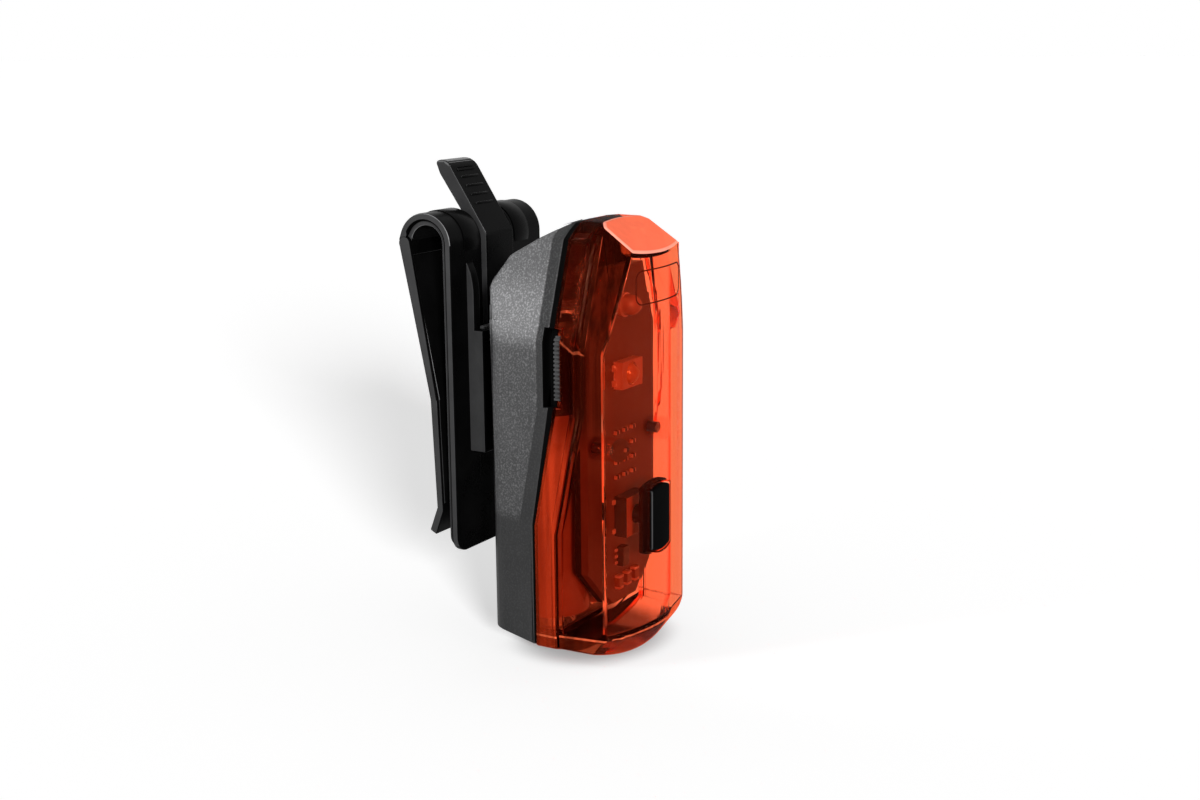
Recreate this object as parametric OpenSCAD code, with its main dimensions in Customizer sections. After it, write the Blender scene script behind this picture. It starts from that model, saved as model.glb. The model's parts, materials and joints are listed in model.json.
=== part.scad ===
// Clip-on bike rear light with a slide-on spring clip, a pull-off lens and two cells inside.
// The light is drawn with Y = 0 on its lower seam, Z = 0 at its lowest point and the lens towards -Y.
// Every piece is then moved so that the origin lies on the rear face of the clip plate.

/* [Light] */
// Width across the seam
light_w = 27; // [26.5:0.5:29]
// Height from the lowest point to the crown
light_h = 63.3; // [62.5:0.1:66]
// How far below the crown the sides turn in to the shoulders
shoulder_drop = 16.3; // [14.5:0.1:16.8]
// Lean of the shoulders from the vertical, in degrees
shoulder_lean = 19; // [17:0.5:20]
// Rise of the bottom arc from its middle to its corners
bottom_sag = 2.5; // [2:0.1:2.6]
// Drop of the crown from its middle to its ends
crown_sag = 0.5; // [0.3:0.1:0.8]
// Radius that rounds the crown over into the shoulders
crown_corner_r = 13.6; // [12.8:0.1:14.5]
// How far that rounding would rise above the crown
crown_corner_rise = 0.8; // [0.6:0.05:1.5]

/* [Seam] */
// Height at which the seam starts to slant forward
seam_low_z = 20.4; // [18:0.2:23]
// Height at which the slant ends
seam_high_z = 37.5; // [34:0.5:37.5]
// How far forward the slant carries the seam
seam_shift = 3.4; // [2.8:0.1:3.8]
// Thickness of the seal in the seam
seal_t = 0.4; // [0.3:0.05:0.8]
// How much thicker the seal grows above the slant
seal_top_extra = 0.5; // [0.1:0.05:0.6]
// Depth of the groove that the seal leaves around the seam
seal_recess = 0.3; // [0.1:0.05:0.5]
// Width of the smooth band behind the seam
band_w = 2.6; // [2:0.1:3.2]
// Depth of the smooth band
band_depth = 0.15; // [0.1:0.05:0.3]

/* [Lens] */
// Wall of the lens
lens_wall = 1.8; // [1.5:0.1:2]
// Wall of the lens rim
rim_wall = 2; // [1.9:0.1:2.2]
// Depth of the rim in front of the seam
rim_depth = 3.5; // [3:0.1:4]
// Step from the rim in to the dome
rim_step = 0.8; // [0.4:0.1:0.9]
// Step from the rim in to the dome along the shoulders
rim_shoulder_step = 1.4; // [1:0.1:1.6]
// Depth of the lens at its middle, in front of the lower seam
lens_depth = 13.3; // [12.8:0.1:14]
// Bulge of the front face across its width
front_bulge = 2.6; // [2:0.1:2.8]
// Width of the front face
front_w = 23.2; // [22.8:0.2:24]
// Width of the sloping roof face
roof_w = 12.4; // [12:0.2:13.5]
// Slope of the roof face, in degrees
roof_slope = 34; // [30:1:36]
// Lean of the lens shoulders from the vertical, in degrees
lens_lean = 18.5; // [17.5:0.5:19.5]
// Draft of the lens shoulders, in degrees
shoulder_draft = 9; // [7:1:12]
// Step from the rim up to the dome at the bottom
bottom_step = 0.1; // [0:0.05:0.6]
// Height of the lower edge of the front face at its middle
bevel_z = 3.9; // [3:0.1:5]
// Slope of the bevel under the front face, in degrees
bevel_slope = 52; // [45:1:60]
// Radius of the bevel under the front face
bevel_r = 30; // [26:1:40]
// Thickness of the skirt that enters the housing
skirt_t = 0.8; // [0.7:0.1:0.9]
// Length of the skirt behind the seal
skirt_len = 2; // [1.5:0.1:2.2]
// Diameter of the two posts for the board screws
post_d = 3.4; // [3:0.1:4]

/* [Housing] */
// Depth of the housing behind the lower seam
housing_depth = 8.6; // [8.6:0.1:10]
// Wall of the housing
housing_wall = 1.5; // [1.3:0.1:1.5]
// Radius of the upright rear corners
rear_corner_r = 3.5; // [2:0.1:4]
// Narrowing of each side from the seam to the back
side_taper = 0.5; // [0:0.1:0.6]
// Rise of the bottom from the seam to the back
bottom_rise = 1.8; // [1:0.1:1.8]
// Fall of the top towards the back, in degrees
top_fall = 30; // [24:1:31]
// Depth of the level part of the top behind the seam
top_flat = 0.1; // [0.1:0.1:2]
// Cut at the upper rear edge
top_rear_cut = 2.4; // [1.6:0.1:3.8]

/* [Coin slot] */
// Length of the slot in the side
slot_len = 11; // [8:0.5:11.5]
// Width of the slot behind the seam
slot_rear_w = 1.5; // [1:0.1:2]
// Width of the slot in front of the seam
slot_front_w = 1.2; // [1:0.1:1.8]
// Depth of the slot
slot_depth = 1.1; // [0.8:0.1:1.2]
// Height of the lower end of the slot
slot_z = 37.9; // [37.9:0.1:39]

/* [Button] */
// Width of the button
button_w = 5.4; // [4.5:0.1:6]
// Height of the button
button_h = 9.8; // [8:0.1:10.2]
// Height of the button's centre
button_z = 20.2; // [19:0.1:22]
// How far the button stands out of the lens
button_proud = 0.15; // [0.1:0.05:0.6]
// Radius of the round upper and lower ends
button_end_r = 7; // [5.2:0.1:8]
// Overlap of the button's flange behind the lens
button_flange = 0.7; // [0.5:0.1:1]
// Travel of the button
button_travel = 0.8; // [0.5:0.1:0.9]

/* [Clip] */
// Width of the clip
clip_w = 23.9; // [22:0.1:26]
// Thickness of the hard outer strip
strip_t = 1.1; // [1:0.1:1.3]
// Thickness of the soft inner liner
liner_t = 0.7; // [0.5:0.1:0.8]
// Setback of the liner from the edges of the strip
liner_inset = 0.6; // [0.3:0.1:1]
// Inner radius of the bend
bend_r = 2.7; // [2.6:0.1:3.2]
// Height of the bend's axis
bend_z = 59.3; // [59:0.1:62]
// Height of the lower end of the plate
plate_low_z = 13.6; // [12:0.2:15]
// Radius of the lower corners of the plate
plate_corner_r = 2.5; // [1:0.1:4]
// Height of the knee in the leg
knee_z = 36.5; // [33:0.5:40]
// Gap between the plate and the leg at the knee
knee_gap = 1.25; // [1:0.05:2]
// Gap between the plate and the leg above the lip
toe_gap = 0.75; // [0.5:0.05:1]
// Thickness of the leg at its toe
toe_t = 1.1; // [1:0.05:1.3]
// Height at which the lip flares back
lip_z = 19.8; // [19:0.1:21]
// Height of the tip of the lip
lip_tip_z = 16.6; // [16:0.1:17.5]
// How far back the lip flares
lip_out = 1.4; // [1:0.1:2]

/* [Release tab] */
// Width of the tab
tab_w = 7.1; // [6.5:0.1:7.5]
// Thickness of the tab
tab_t = 1.8; // [1.6:0.1:1.9]
// Lean of the thumb piece from the vertical, in degrees
tab_lean = 33; // [30:1:35]
// Height of the top of the tab
tab_top_z = 70.7; // [69:0.1:72]
// Height at which the thumb piece starts to lean
tab_bend_z = 60.2; // [60:0.1:61]
// Height of the tab's root in the plate
tab_root_z = 36; // [35:0.5:38]
// How far the tongue stands out of the plate
tab_proud = 0.6; // [0.4:0.05:0.65]
// Gap at each side of the tab
tab_gap = 0.4; // [0.3:0.05:0.6]
// Number of thumb ribs
rib_count = 5; // [3:1:6]
// Width and height of a thumb rib
rib_size = 0.3; // [0.2:0.05:0.4]
// Distance between thumb ribs
rib_pitch = 1.5; // [1.2:0.1:1.6]
// Distance from the foot of the thumb piece to the lowest rib
rib_start = 4.9; // [4:0.1:5]
// Setback of the ribs from the sides of the tab
rib_inset = 1.4; // [0.5:0.1:2]

/* [Slide] */
// Distance from the housing to the clip plate
stand_off = 5.8; // [5.8:0.1:7]
// Width of the rail's neck
neck_w = 9.2; // [8.6:0.1:9.6]
// Width of the rail's head
head_w = 12.4; // [12:0.1:13]
// Thickness of the rail's head
head_t = 0.9; // [0.8:0.05:1.1]
// Height of the foot of the rail
rail_low_z = 30.05; // [29:0.05:31]
// Length of the rail
rail_len = 17; // [15:0.5:17.4]
// Thickness of the channel's side walls
channel_wall = 1.6; // [1.2:0.1:2]
// Thickness of the channel's lips
channel_lip = 0.8; // [0.7:0.05:0.9]
// Clearance beside the rail's head
slide_gap = 0.2; // [0.15:0.05:0.3]
// Clearance between the rail's head and the channel's lips
head_gap = 0.15; // [0.1:0.05:0.2]
// Space between the rail's head and the clip plate
head_float = 0.75; // [0.7:0.05:1]
// Height of the stop under the rail
stop_h = 1.6; // [1.2:0.1:2.5]
// How far the thin upper guides reach above the channel
guide_len = 10; // [6:0.5:11]
// Length of the curved taper at the top of the guides
guide_taper = 5; // [3:0.5:6]
// Thickness of the upper guides
guide_t = 1.2; // [0.8:0.1:1.3]
// Width of the catch on the tab
catch_w = 5; // [4:0.1:5.4]
// Reach of the catch in front of the tab
catch_reach = 0.9; // [0.7:0.05:0.95]
// Height of the catch
catch_h = 2; // [1.6:0.1:2.4]
// Height of the keeper at the top of the rail
keeper_h = 1.5; // [1:0.1:2]

/* [Cells and contacts] */
// Diameter of a cell
cell_d = 10.5; // [10.5:0.1:10.6]
// Space above the cells, which sets their length
cell_head_room = 13.3; // [13.2:0.1:14]
// Diameter of a cell's cap
cap_d = 3.8; // [3.4:0.1:4.2]
// Height of a cell's cap
cap_h = 1; // [0.8:0.1:1.2]
// Space between the cells
cell_space = 0.3; // [0.2:0.05:0.4]
// Height of the contact bridge
bridge_z = 3.6; // [3.6:0.05:3.8]
// Thickness of the contact metal
contact_t = 0.4; // [0.3:0.05:0.45]
// Length of a pressed contact spring
spring_len = 1.5; // [1.2:0.1:1.6]
// Diameter of the wide end of a contact spring
spring_d = 6.4; // [5:0.1:6.4]

/* [Board] */
// Distance from the lower seam to the front of the board
board_y = 6.8; // [6.6:0.05:7]
// Thickness of the board
board_t = 1.2; // [1:0.1:1.6]
// Height of the lower end of the board
board_low_z = 7; // [6.8:0.1:8]
// Space above the board
board_head_room = 6.8; // [6.3:0.1:7.5]
// Setback of the board from the outline of the light
board_inset = 4.1; // [4:0.05:4.6]
// Width of the cut at each lower corner of the board
board_corner = 6; // [4:0.1:7]
// Thickness of the inner frame behind the board
frame_t = 1; // [0.8:0.1:1.2]
// How far the inner frame ends below the board's upper end
frame_drop = 9; // [8.5:0.1:10]
// Distance of the board screws from the board's side edges
screw_edge = 1.8; // [1.6:0.05:2.2]
// Height of the board screws
screw_z = 31.5; // [30:0.5:34]
// Diameter of a board screw's shank
screw_d = 1.6; // [1.4:0.1:1.8]
// Diameter of a board screw's head
screw_head_d = 3; // [2.6:0.1:3.2]
// Height of a board screw's head
screw_head_h = 0.8; // [0.6:0.05:0.9]

/* [Emitters and parts] */
// Width of the main emitter
emitter_w = 5.6; // [4.5:0.1:6]
// Height of the main emitter's body on the board
emitter_h = 4; // [3.5:0.1:5]
// Depth of the main emitter's body
emitter_t = 1.4; // [1:0.1:1.8]
// Height of the main emitter's centre
emitter_z = 41; // [40:0.1:45]
// Diameter of the main emitter's dome
emitter_dome_d = 3.4; // [3:0.1:3.4]
// How far the marker emitter's centre lies below the board's upper end
marker_drop = 5.6; // [2.4:0.1:6]
// Diameter of the marker emitter
marker_d = 3; // [2.6:0.1:3.2]
// Length of the marker emitter up to its dome
marker_len = 1.2; // [0.8:0.1:1.4]
// Width of the tact switch
switch_w = 6; // [5:0.1:6.2]
// Depth of the tact switch
switch_t = 2; // [1.6:0.1:2]
// Diameter of the switch plunger
plunger_d = 2.6; // [2.2:0.1:3]
// Width of the driver chip
chip_w = 1.6; // [1.4:0.1:1.8]
// Height of the driver chip
chip_h = 2.9; // [2.7:0.1:3.1]
// Depth of the driver chip
chip_t = 1.1; // [0.9:0.1:1.3]
// Sideways place of the driver chip
chip_x = -1.5; // [-2:0.1:2]
// Height of the driver chip's centre
chip_z = 14; // [13.8:0.1:14.4]
// Distance between the resistors across the board
resistor_pitch = 2.4; // [1.6:0.1:3]
// Distance between the rows of resistors
resistor_row = 2.2; // [1:0.1:2.4]
// Height of the lowest row of resistors
resistor_z = 26; // [25.5:0.1:27]
// Distance between the capacitors
capacitor_pitch = 2.4; // [1.6:0.1:3]
// Distance between chip pins
pin_pitch = 0.95; // [0.9:0.01:1]

/* [Fits] */
// Sliding clearance between the lens and the housing
fit_gap = 0.1; // [0.08:0.01:0.12]
// Running clearance of pins and plungers
run_gap = 0.08; // [0.05:0.01:0.1]
// Clearance around the button
button_gap = 0.2; // [0.15:0.05:0.25]

/* [Hidden] */
$fn = 64;
// Facets of the large arcs
arc_fn = 360;

// Reach of the cutting shapes, well past the light
span = 120;
margin = 1;

// Small fixed gaps: under the rail, above the channel, over the rail, behind the cells, under the button's flange
rest_gap = 0.05;
rail_over = 0.3;
catch_gap = 0.25;
cell_back_gap = 0.2;
flange_gap = 0.1;
// Thickness of the button's flange and of the tact switch's base
flange_t = 0.6;
switch_base_t = 0.4;
// Length of a board screw in its post
screw_grip = 1.5;

bottom_r = (pow(light_w / 2, 2) + pow(bottom_sag, 2)) / (2 * bottom_sag);
shoulder_z = light_h - shoulder_drop;
crown_half = light_w / 2 - shoulder_drop * tan(shoulder_lean);
crown_r = (pow(crown_half, 2) + pow(crown_sag, 2)) / (2 * crown_sag);
front_r = (pow(front_w / 2, 2) + pow(front_bulge, 2)) / (2 * front_bulge);

// A line parallel to the seam has its corners lower the further forward it lies
corner_follow = 0.3;
roof_back_y = -(seam_shift + rim_depth);
front_edge_y = -(lens_depth - front_bulge);
skirt_in = housing_wall + fit_gap;

strip_all = strip_t + liner_t;
plate_front_y = housing_depth + stand_off;
plate_rear_y = plate_front_y + strip_all;
bend_y = plate_rear_y + bend_r;
bend_out_r = bend_r + strip_all;
mount_z = (plate_low_z + tab_root_z) / 2;
hinge_y = bend_y + bend_r + strip_all / 2;
hinge_r = strip_all / 2;

tab_pivot_y = plate_front_y + tab_t / 2;
tab_front_y = plate_front_y - tab_proud;
tab_slot_w = tab_w + 2 * tab_gap;

head_front_y = plate_front_y - head_float - head_t;
head_rear_y = head_front_y + head_t;
lip_rear_y = head_front_y - head_gap;
channel_front_y = lip_rear_y - channel_lip;
channel_half = head_w / 2 + slide_gap;
channel_low_z = rail_low_z - rest_gap;
channel_high_z = channel_low_z + rail_len - rail_over;
catch_low_z = rail_low_z + rail_len + catch_gap;

cell_x = (cell_d + cell_space) / 2;
cell_y = housing_depth - housing_wall - cell_back_gap - cell_d / 2;
cell_right_z = bridge_z + contact_t;
cell_left_z = cell_right_z + spring_len;
top_contact_z = light_h - cell_head_room;
cell_len = top_contact_z - cell_left_z;

board_half = light_w / 2 - board_inset;
board_high_z = light_h - board_head_room;
frame_high_z = board_high_z - frame_drop;
marker_z = board_high_z - marker_drop;
screw_x = board_half - screw_edge;
board_rear_y = -board_y + board_t;
frame_rear_y = board_rear_y + frame_t;
dome_front_y = -lens_depth;
switch_front_y = -board_y - switch_t;

// Moves a piece from the light's own place to the mount's
module at_mount() {
    translate([0, -plate_rear_y, -mount_z])
        children();
}

// Extrudes a front view along Y
module along_y(y0, y1) {
    translate([0, y1, 0])
        rotate([90, 0, 0])
            linear_extrude(y1 - y0)
                children();
}

// Extrudes a side view along X
module along_x(x0, x1) {
    translate([x0, 0, 0])
        rotate([90, 0, 90])
            linear_extrude(x1 - x0)
                children();
}

// Extrudes a plan view along Z
module along_z(z0, z1) {
    translate([0, 0, z0])
        linear_extrude(z1 - z0)
            children();
}

// Both mirror images of a piece on the +X side
module both_sides() {
    children();
    mirror([1, 0, 0])
        children();
}

// A block given by its lowest and highest corners
module block(low, high) {
    translate(low)
        cube(high - low);
}

// A rod along Y between two depths
module rod_y(x, z, d, y0, y1) {
    translate([x, y1, z])
        rotate([90, 0, 0])
            cylinder(d = d, h = y1 - y0);
}

// Points of a line d behind the seam, and further behind it by extra above the slant
function seam_points(d, extra = 0) = [
    [d, -margin],
    [d, seam_low_z + corner_follow * d],
    [d + extra - seam_shift, seam_high_z + corner_follow * d],
    [d + extra - seam_shift, light_h + margin]
];

function reversed(list) = [for (i = [len(list) - 1 : -1 : 0]) list[i]];

// Half of the front view's plane, inside one shoulder
module shoulder_side(in) {
    translate([light_w / 2, shoulder_z])
        rotate(shoulder_lean)
            translate([-span - in, -span])
                square([span, 2 * span]);
}

// Front view's plane under an arc with a given top, set in by a wall
module under_arc(r, top_z, in) {
    union() {
        translate([0, top_z - r])
            circle(r = r - in, $fn = arc_fn);
        translate([-light_w, top_z - r - span])
            square([2 * light_w, span]);
    }
}

// Front view's plane under the crown and its round corners
module under_crown(in) {
    intersection() {
        under_arc(crown_r, light_h, in);
        under_arc(crown_corner_r, light_h + crown_corner_rise, in);
    }
}

// Front view of the light at its seam, set in by a wall
module seam_outline(in) {
    intersection() {
        translate([in - light_w / 2, -margin])
            square([light_w - 2 * in, light_h + 2 * margin]);
        translate([0, bottom_r])
            circle(r = bottom_r - in, $fn = arc_fn);
        under_crown(in);
        shoulder_side(in);
        mirror([1, 0])
            shoulder_side(in);
    }
}

// Slab between two lines along the seam
module seam_slab(d0, d1, extra = 0) {
    along_x(-span, span)
        polygon(concat(seam_points(d0), reversed(seam_points(d1, extra))));
}

// Ring of the seam outline between two set-ins and two depths
module seam_ring(in_out, in_in, d0, d1, extra = 0) {
    intersection() {
        along_y(-span, span)
            difference() {
                seam_outline(in_out);
                seam_outline(in_in);
            }
        seam_slab(d0, d1, extra);
    }
}

function dome_half(y, in) =
    front_w / 2 - in + (light_w / 2 - rim_step - front_w / 2) * (y - front_edge_y) / (-rim_depth - front_edge_y);

// Plan of the dome: tapered sides and the bulged front
module dome_plan(in) {
    y_low = dome_front_y - margin;
    y_high = margin;
    intersection() {
        polygon([
            [-dome_half(y_high, in), y_high],
            [-dome_half(y_low, in), y_low],
            [dome_half(y_low, in), y_low],
            [dome_half(y_high, in), y_high]
        ]);
        translate([0, front_r - lens_depth])
            circle(r = front_r - in, $fn = arc_fn);
    }
}

// Side view of the dome: seam line, level crown and sloping roof
module dome_side(in) {
    roof_drop = in / cos(roof_slope);
    roof_turn_y = roof_back_y + (roof_drop - in) / tan(roof_slope);
    roof_end_y = dome_front_y - margin;
    polygon([
        [0, -margin],
        [0, seam_low_z],
        [-seam_shift, seam_high_z],
        [-seam_shift, light_h - in],
        [roof_turn_y, light_h - in],
        [roof_end_y, light_h - roof_drop + (roof_end_y - roof_back_y) * tan(roof_slope)],
        [roof_end_y, -margin]
    ]);
}

// Space below one drafted shoulder of the dome
module dome_shoulder(in) {
    translate([roof_w / 2, roof_back_y, light_h])
        rotate([0, 0, -shoulder_draft])
            rotate([0, -lens_lean, 0])
                translate([-span - in, -span / 2, -span])
                    cube([span, span, 1.5 * span]);
}

// Solid form of the dome, set in by a wall
module dome_form(in) {
    intersection() {
        along_y(-span, span)
            under_crown(in);
        along_z(-margin, light_h + margin)
            dome_plan(in);
        along_x(-span, span)
            dome_side(in);
        translate([0, 0, bottom_step + bottom_r])
            rotate([90, 0, 0])
                cylinder(r = bottom_r - in, h = span, center = true, $fn = arc_fn);
        translate([0, dome_front_y, bevel_z])
            rotate([-bevel_slope, 0, 0])
                translate([0, 0, bevel_r])
                    rotate([90, 0, 0])
                        cylinder(r = bevel_r - in, h = 2 * span, center = true, $fn = arc_fn);
        dome_shoulder(in);
        mirror([1, 0, 0])
            dome_shoulder(in);
    }
}

// Coin slot in one side, on both sides of the seam
module coin_slot() {
    intersection() {
        along_y(-span, span)
            difference() {
                seam_outline(-margin);
                seam_outline(slot_depth);
            }
        block([-light_w, -seam_shift - slot_front_w, slot_z], [0, slot_rear_w - seam_shift, slot_z + slot_len]);
    }
}

// Outline of the button with round ends, grown by a gap
module button_outline(grow) {
    translate([0, button_z])
        intersection() {
            square([button_w + 2 * grow, button_h + 2 * grow], center = true);
            translate([0, button_h / 2 - button_end_r])
                circle(r = button_end_r + grow);
            translate([0, button_end_r - button_h / 2])
                circle(r = button_end_r + grow);
        }
}

// Space behind a surface parallel to the front face, out in front of it by a given distance
module behind_front(out) {
    translate([0, front_r - lens_depth, 0])
        cylinder(r = front_r + out, h = light_h, $fn = arc_fn);
}

module lens() {
    color([0.85, 0.2, 0.08, 0.5])
        difference() {
            union() {
                intersection() {
                    seam_ring(0, rim_wall, -rim_depth, 0);
                    dome_shoulder(-rim_shoulder_step);
                    mirror([1, 0, 0])
                        dome_shoulder(-rim_shoulder_step);
                }
                seam_ring(skirt_in, skirt_in + skirt_t, -rim_wall, seal_t + skirt_len);
                difference() {
                    dome_form(0);
                    dome_form(lens_wall);
                    intersection() {
                        along_y(-span, span)
                            seam_outline(rim_wall);
                        seam_slab(-rim_depth, margin);
                    }
                }
                intersection() {
                    both_sides()
                        rod_y(screw_x, screw_z, post_d, dome_front_y, -board_y);
                    dome_form(lens_wall / 2);
                }
            }
            coin_slot();
            along_y(-span, -board_y)
                button_outline(button_gap);
            both_sides()
                rod_y(screw_x, screw_z, screw_d + 2 * run_gap, -board_y - screw_grip - catch_gap, 0);
        }
}

// Light ribbed strip on the floor of the coin slot, beside the lens
module pry_strip() {
    strip_set = 1;
    strip_z0 = slot_z + strip_set;
    strip_z1 = slot_z + slot_len - strip_set;
    rib_step = 0.6;
    base_t = 0.3;
    rib_t = 0.6;
    color("silver")
        intersection() {
            along_y(-span, span)
                difference() {
                    seam_outline(slot_depth - rib_t);
                    seam_outline(slot_depth);
                }
            union() {
                intersection() {
                    along_y(-span, span)
                        seam_outline(slot_depth - base_t);
                    block([-light_w, -seam_shift - slot_front_w, strip_z0], [0, -seam_shift, strip_z1]);
                }
                for (z = [strip_z0 : rib_step : strip_z1 - rib_step / 2])
                    block([-light_w, -seam_shift - slot_front_w, z], [0, -seam_shift, z + rib_step / 2]);
            }
        }
}

module seal_ring() {
    color([0.03, 0.03, 0.03])
        difference() {
            seam_ring(seal_recess, skirt_in - fit_gap / 2, 0, seal_t, seal_top_extra);
            coin_slot();
        }
}

// Side view of the housing, set in by a wall
module housing_side(in) {
    back_y = housing_depth - in;
    top_z = light_h - in;
    front_y = seal_t + seal_top_extra - seam_shift;
    break_y = top_flat + seal_t - seam_shift;
    fall_z = top_z - (back_y - break_y) * tan(top_fall);
    polygon(concat(seam_points(seal_t, seal_top_extra), [
        [front_y, top_z - (front_y - break_y) * tan(top_fall)],
        [back_y - top_rear_cut, fall_z + top_rear_cut * tan(top_fall)],
        [back_y, fall_z - top_rear_cut],
        [back_y, -margin]
    ]));
}

// Plan of the housing: tapered sides and round rear corners
module housing_plan(in) {
    half_front = light_w / 2 + margin - in;
    half_rear = light_w / 2 - side_taper - in;
    back_y = housing_depth - in;
    r = rear_corner_r - in;
    union() {
        polygon([
            [-half_front, -seam_shift - margin],
            [half_front, -seam_shift - margin],
            [half_front, 0],
            [half_rear + side_taper, 0],
            [half_rear, back_y - r],
            [-half_rear, back_y - r],
            [-half_rear - side_taper, 0],
            [-half_front, 0]
        ]);
        both_sides()
            translate([half_rear - r, back_y - r])
                circle(r = r);
        translate([r - half_rear, back_y - r - margin])
            square([2 * (half_rear - r), r + margin]);
    }
}

// Solid form of the housing, set in by a wall
module housing_form(in) {
    tilt = atan(bottom_rise / housing_depth);
    intersection() {
        union() {
            intersection() {
                along_y(-span, span)
                    seam_outline(in);
                along_x(-span, span)
                    polygon(concat(
                        [for (p = seam_points(band_w)) p[1] < seam_low_z ? [seal_t, p[1]] : [p[0], p[1]]],
                        [[span, light_h + margin], [span, -margin]]));
            }
            along_y(-span, span)
                seam_outline(in + band_depth);
        }
        along_x(-span, span)
            housing_side(in);
        along_z(-margin, light_h + margin)
            housing_plan(in);
        rotate([tilt, 0, 0])
            translate([0, 0, bottom_r])
                rotate([90, 0, 0])
                    cylinder(r = bottom_r - in, h = span, center = true, $fn = arc_fn);
    }
}

// T-shaped rail on the back of the housing, with the groove and keeper for the catch
module rail() {
    groove_w = catch_w + 2 * tab_gap;
    groove_y = tab_front_y - catch_reach - head_gap * 2;
    difference() {
        union() {
            block([-neck_w / 2, housing_depth - housing_wall / 2, rail_low_z],
                  [neck_w / 2, head_front_y + head_t / 2, rail_low_z + rail_len]);
            block([-head_w / 2, head_front_y, rail_low_z], [head_w / 2, head_rear_y, rail_low_z + rail_len]);
        }
        block([-groove_w / 2, groove_y, rail_low_z - margin],
              [groove_w / 2, head_rear_y + margin, rail_low_z + rail_len - keeper_h]);
    }
}

module rear_housing() {
    shelf_t = 1.2;
    shelf_z = top_contact_z + contact_t;
    pedestal_half = 1.5;
    behind_skirt = seal_t + skirt_len + margin / 2;
    color([0.28, 0.28, 0.28])
        union() {
            difference() {
                housing_form(0);
                intersection() {
                    housing_form(housing_wall - band_depth);
                    along_y(-span, span)
                        seam_outline(housing_wall);
                }
                seam_cavity();
                coin_slot();
            }
            rail();
            intersection() {
                housing_form(housing_wall / 2);
                union() {
                    block([-light_w, behind_skirt - seam_shift, shelf_z],
                          [light_w, housing_depth, shelf_z + shelf_t]);
                    block([-pedestal_half, behind_skirt, 0], [pedestal_half, cell_y + spring_d / 2, bridge_z]);
                }
            }
        }
}

// Mouth of the housing, which takes the skirt of the lens
module seam_cavity() {
    intersection() {
        along_y(-span, span)
            seam_outline(housing_wall);
        seam_slab(-margin, seal_t + skirt_len + fit_gap);
    }
}

// Sleeve of one cell, standing on a height
module cell_sleeve(x, z0, z1) {
    translate([x, cell_y, z0])
        cylinder(d = cell_d, h = z1 - z0);
}

module cell_left() {
    color("dimgray")
        cell_sleeve(-cell_x, cell_left_z + contact_t, cell_left_z + cell_len - cap_h);
}

module cell_right() {
    color("dimgray")
        cell_sleeve(cell_x, cell_right_z + cap_h, cell_right_z + cell_len - contact_t);
}

// Caps and end discs of both cells
module cell_terminals() {
    rolled_edge = 1;
    disc_d = cell_d - 2 * rolled_edge;
    color("silver") {
        translate([-cell_x, cell_y, cell_left_z + cell_len - cap_h])
            cylinder(d = cap_d, h = cap_h);
        translate([-cell_x, cell_y, cell_left_z])
            cylinder(d = disc_d, h = contact_t);
        translate([cell_x, cell_y, cell_right_z])
            cylinder(d = cap_d, h = cap_h);
        translate([cell_x, cell_y, cell_right_z + cell_len - contact_t])
            cylinder(d = disc_d, h = contact_t);
    }
}

module contact_bridge() {
    bridge_half = cell_x + spring_d / 2;
    color("gainsboro")
        block([-bridge_half, cell_y - spring_d / 2, bridge_z],
              [bridge_half, cell_y + spring_d / 2, bridge_z + contact_t]);
}

// Pressed conical springs, drawn as their outer form
module contact_springs() {
    color("gainsboro") {
        translate([-cell_x, cell_y, cell_right_z])
            cylinder(d1 = spring_d, d2 = cap_d, h = spring_len);
        translate([cell_x, cell_y, top_contact_z - spring_len])
            cylinder(d1 = cap_d, d2 = spring_d, h = spring_len);
    }
}

// Upper contact plates, each with a finger that reaches the board
module contact_plates() {
    plate_half = spring_d / 2 + contact_t / 2;
    finger_w = 2;
    color("gainsboro")
        for (side = [-1, 1]) {
            block([side * cell_x - plate_half, cell_y - plate_half, top_contact_z],
                  [side * cell_x + plate_half, housing_depth - housing_wall, top_contact_z + contact_t]);
            block([side * cell_x - finger_w / 2, board_rear_y, top_contact_z],
                  [side * cell_x + finger_w / 2, cell_y, top_contact_z + contact_t]);
        }
}

// Front view of the board: shoulders at the top and cut corners at the bottom
module board_outline(z_high) {
    intersection() {
        seam_outline(board_inset);
        polygon([
            [-board_half, board_low_z + board_corner],
            [board_corner - board_half, board_low_z],
            [board_half - board_corner, board_low_z],
            [board_half, board_low_z + board_corner],
            [board_half, z_high],
            [-board_half, z_high]
        ]);
    }
}

module screw_bores() {
    both_sides()
        rod_y(screw_x, screw_z, screw_d + 2 * run_gap, -span / 2, span / 2);
}

module circuit_board() {
    color([0.05, 0.12, 0.08])
        difference() {
            along_y(-board_y, board_rear_y)
                board_outline(board_high_z);
            screw_bores();
        }
}

module inner_frame() {
    rib_w = 1;
    color([0.08, 0.08, 0.08])
        difference() {
            union() {
                along_y(board_rear_y, frame_rear_y)
                    board_outline(frame_high_z);
                block([-rib_w / 2, board_rear_y, board_low_z], [rib_w / 2, cell_y - cell_d / 4, frame_high_z]);
            }
            screw_bores();
        }
}

module board_screws() {
    color("silver")
        both_sides() {
            rod_y(screw_x, screw_z, screw_d, -board_y - screw_grip, frame_rear_y);
            rod_y(screw_x, screw_z, screw_head_d, frame_rear_y, frame_rear_y + screw_head_h);
        }
}

// A box of a given width and height that stands on the front of the board
module on_board(x, z, w, h, t) {
    block([x - w / 2, -board_y - t, z - h / 2], [x + w / 2, -board_y, z + h / 2]);
}

module main_emitter() {
    color("gainsboro")
        difference() {
            on_board(0, emitter_z, emitter_w, emitter_h, emitter_t);
            rod_y(0, emitter_z, emitter_dome_d, -board_y - emitter_t - margin, -board_y - emitter_t / 2);
        }
}

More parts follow.
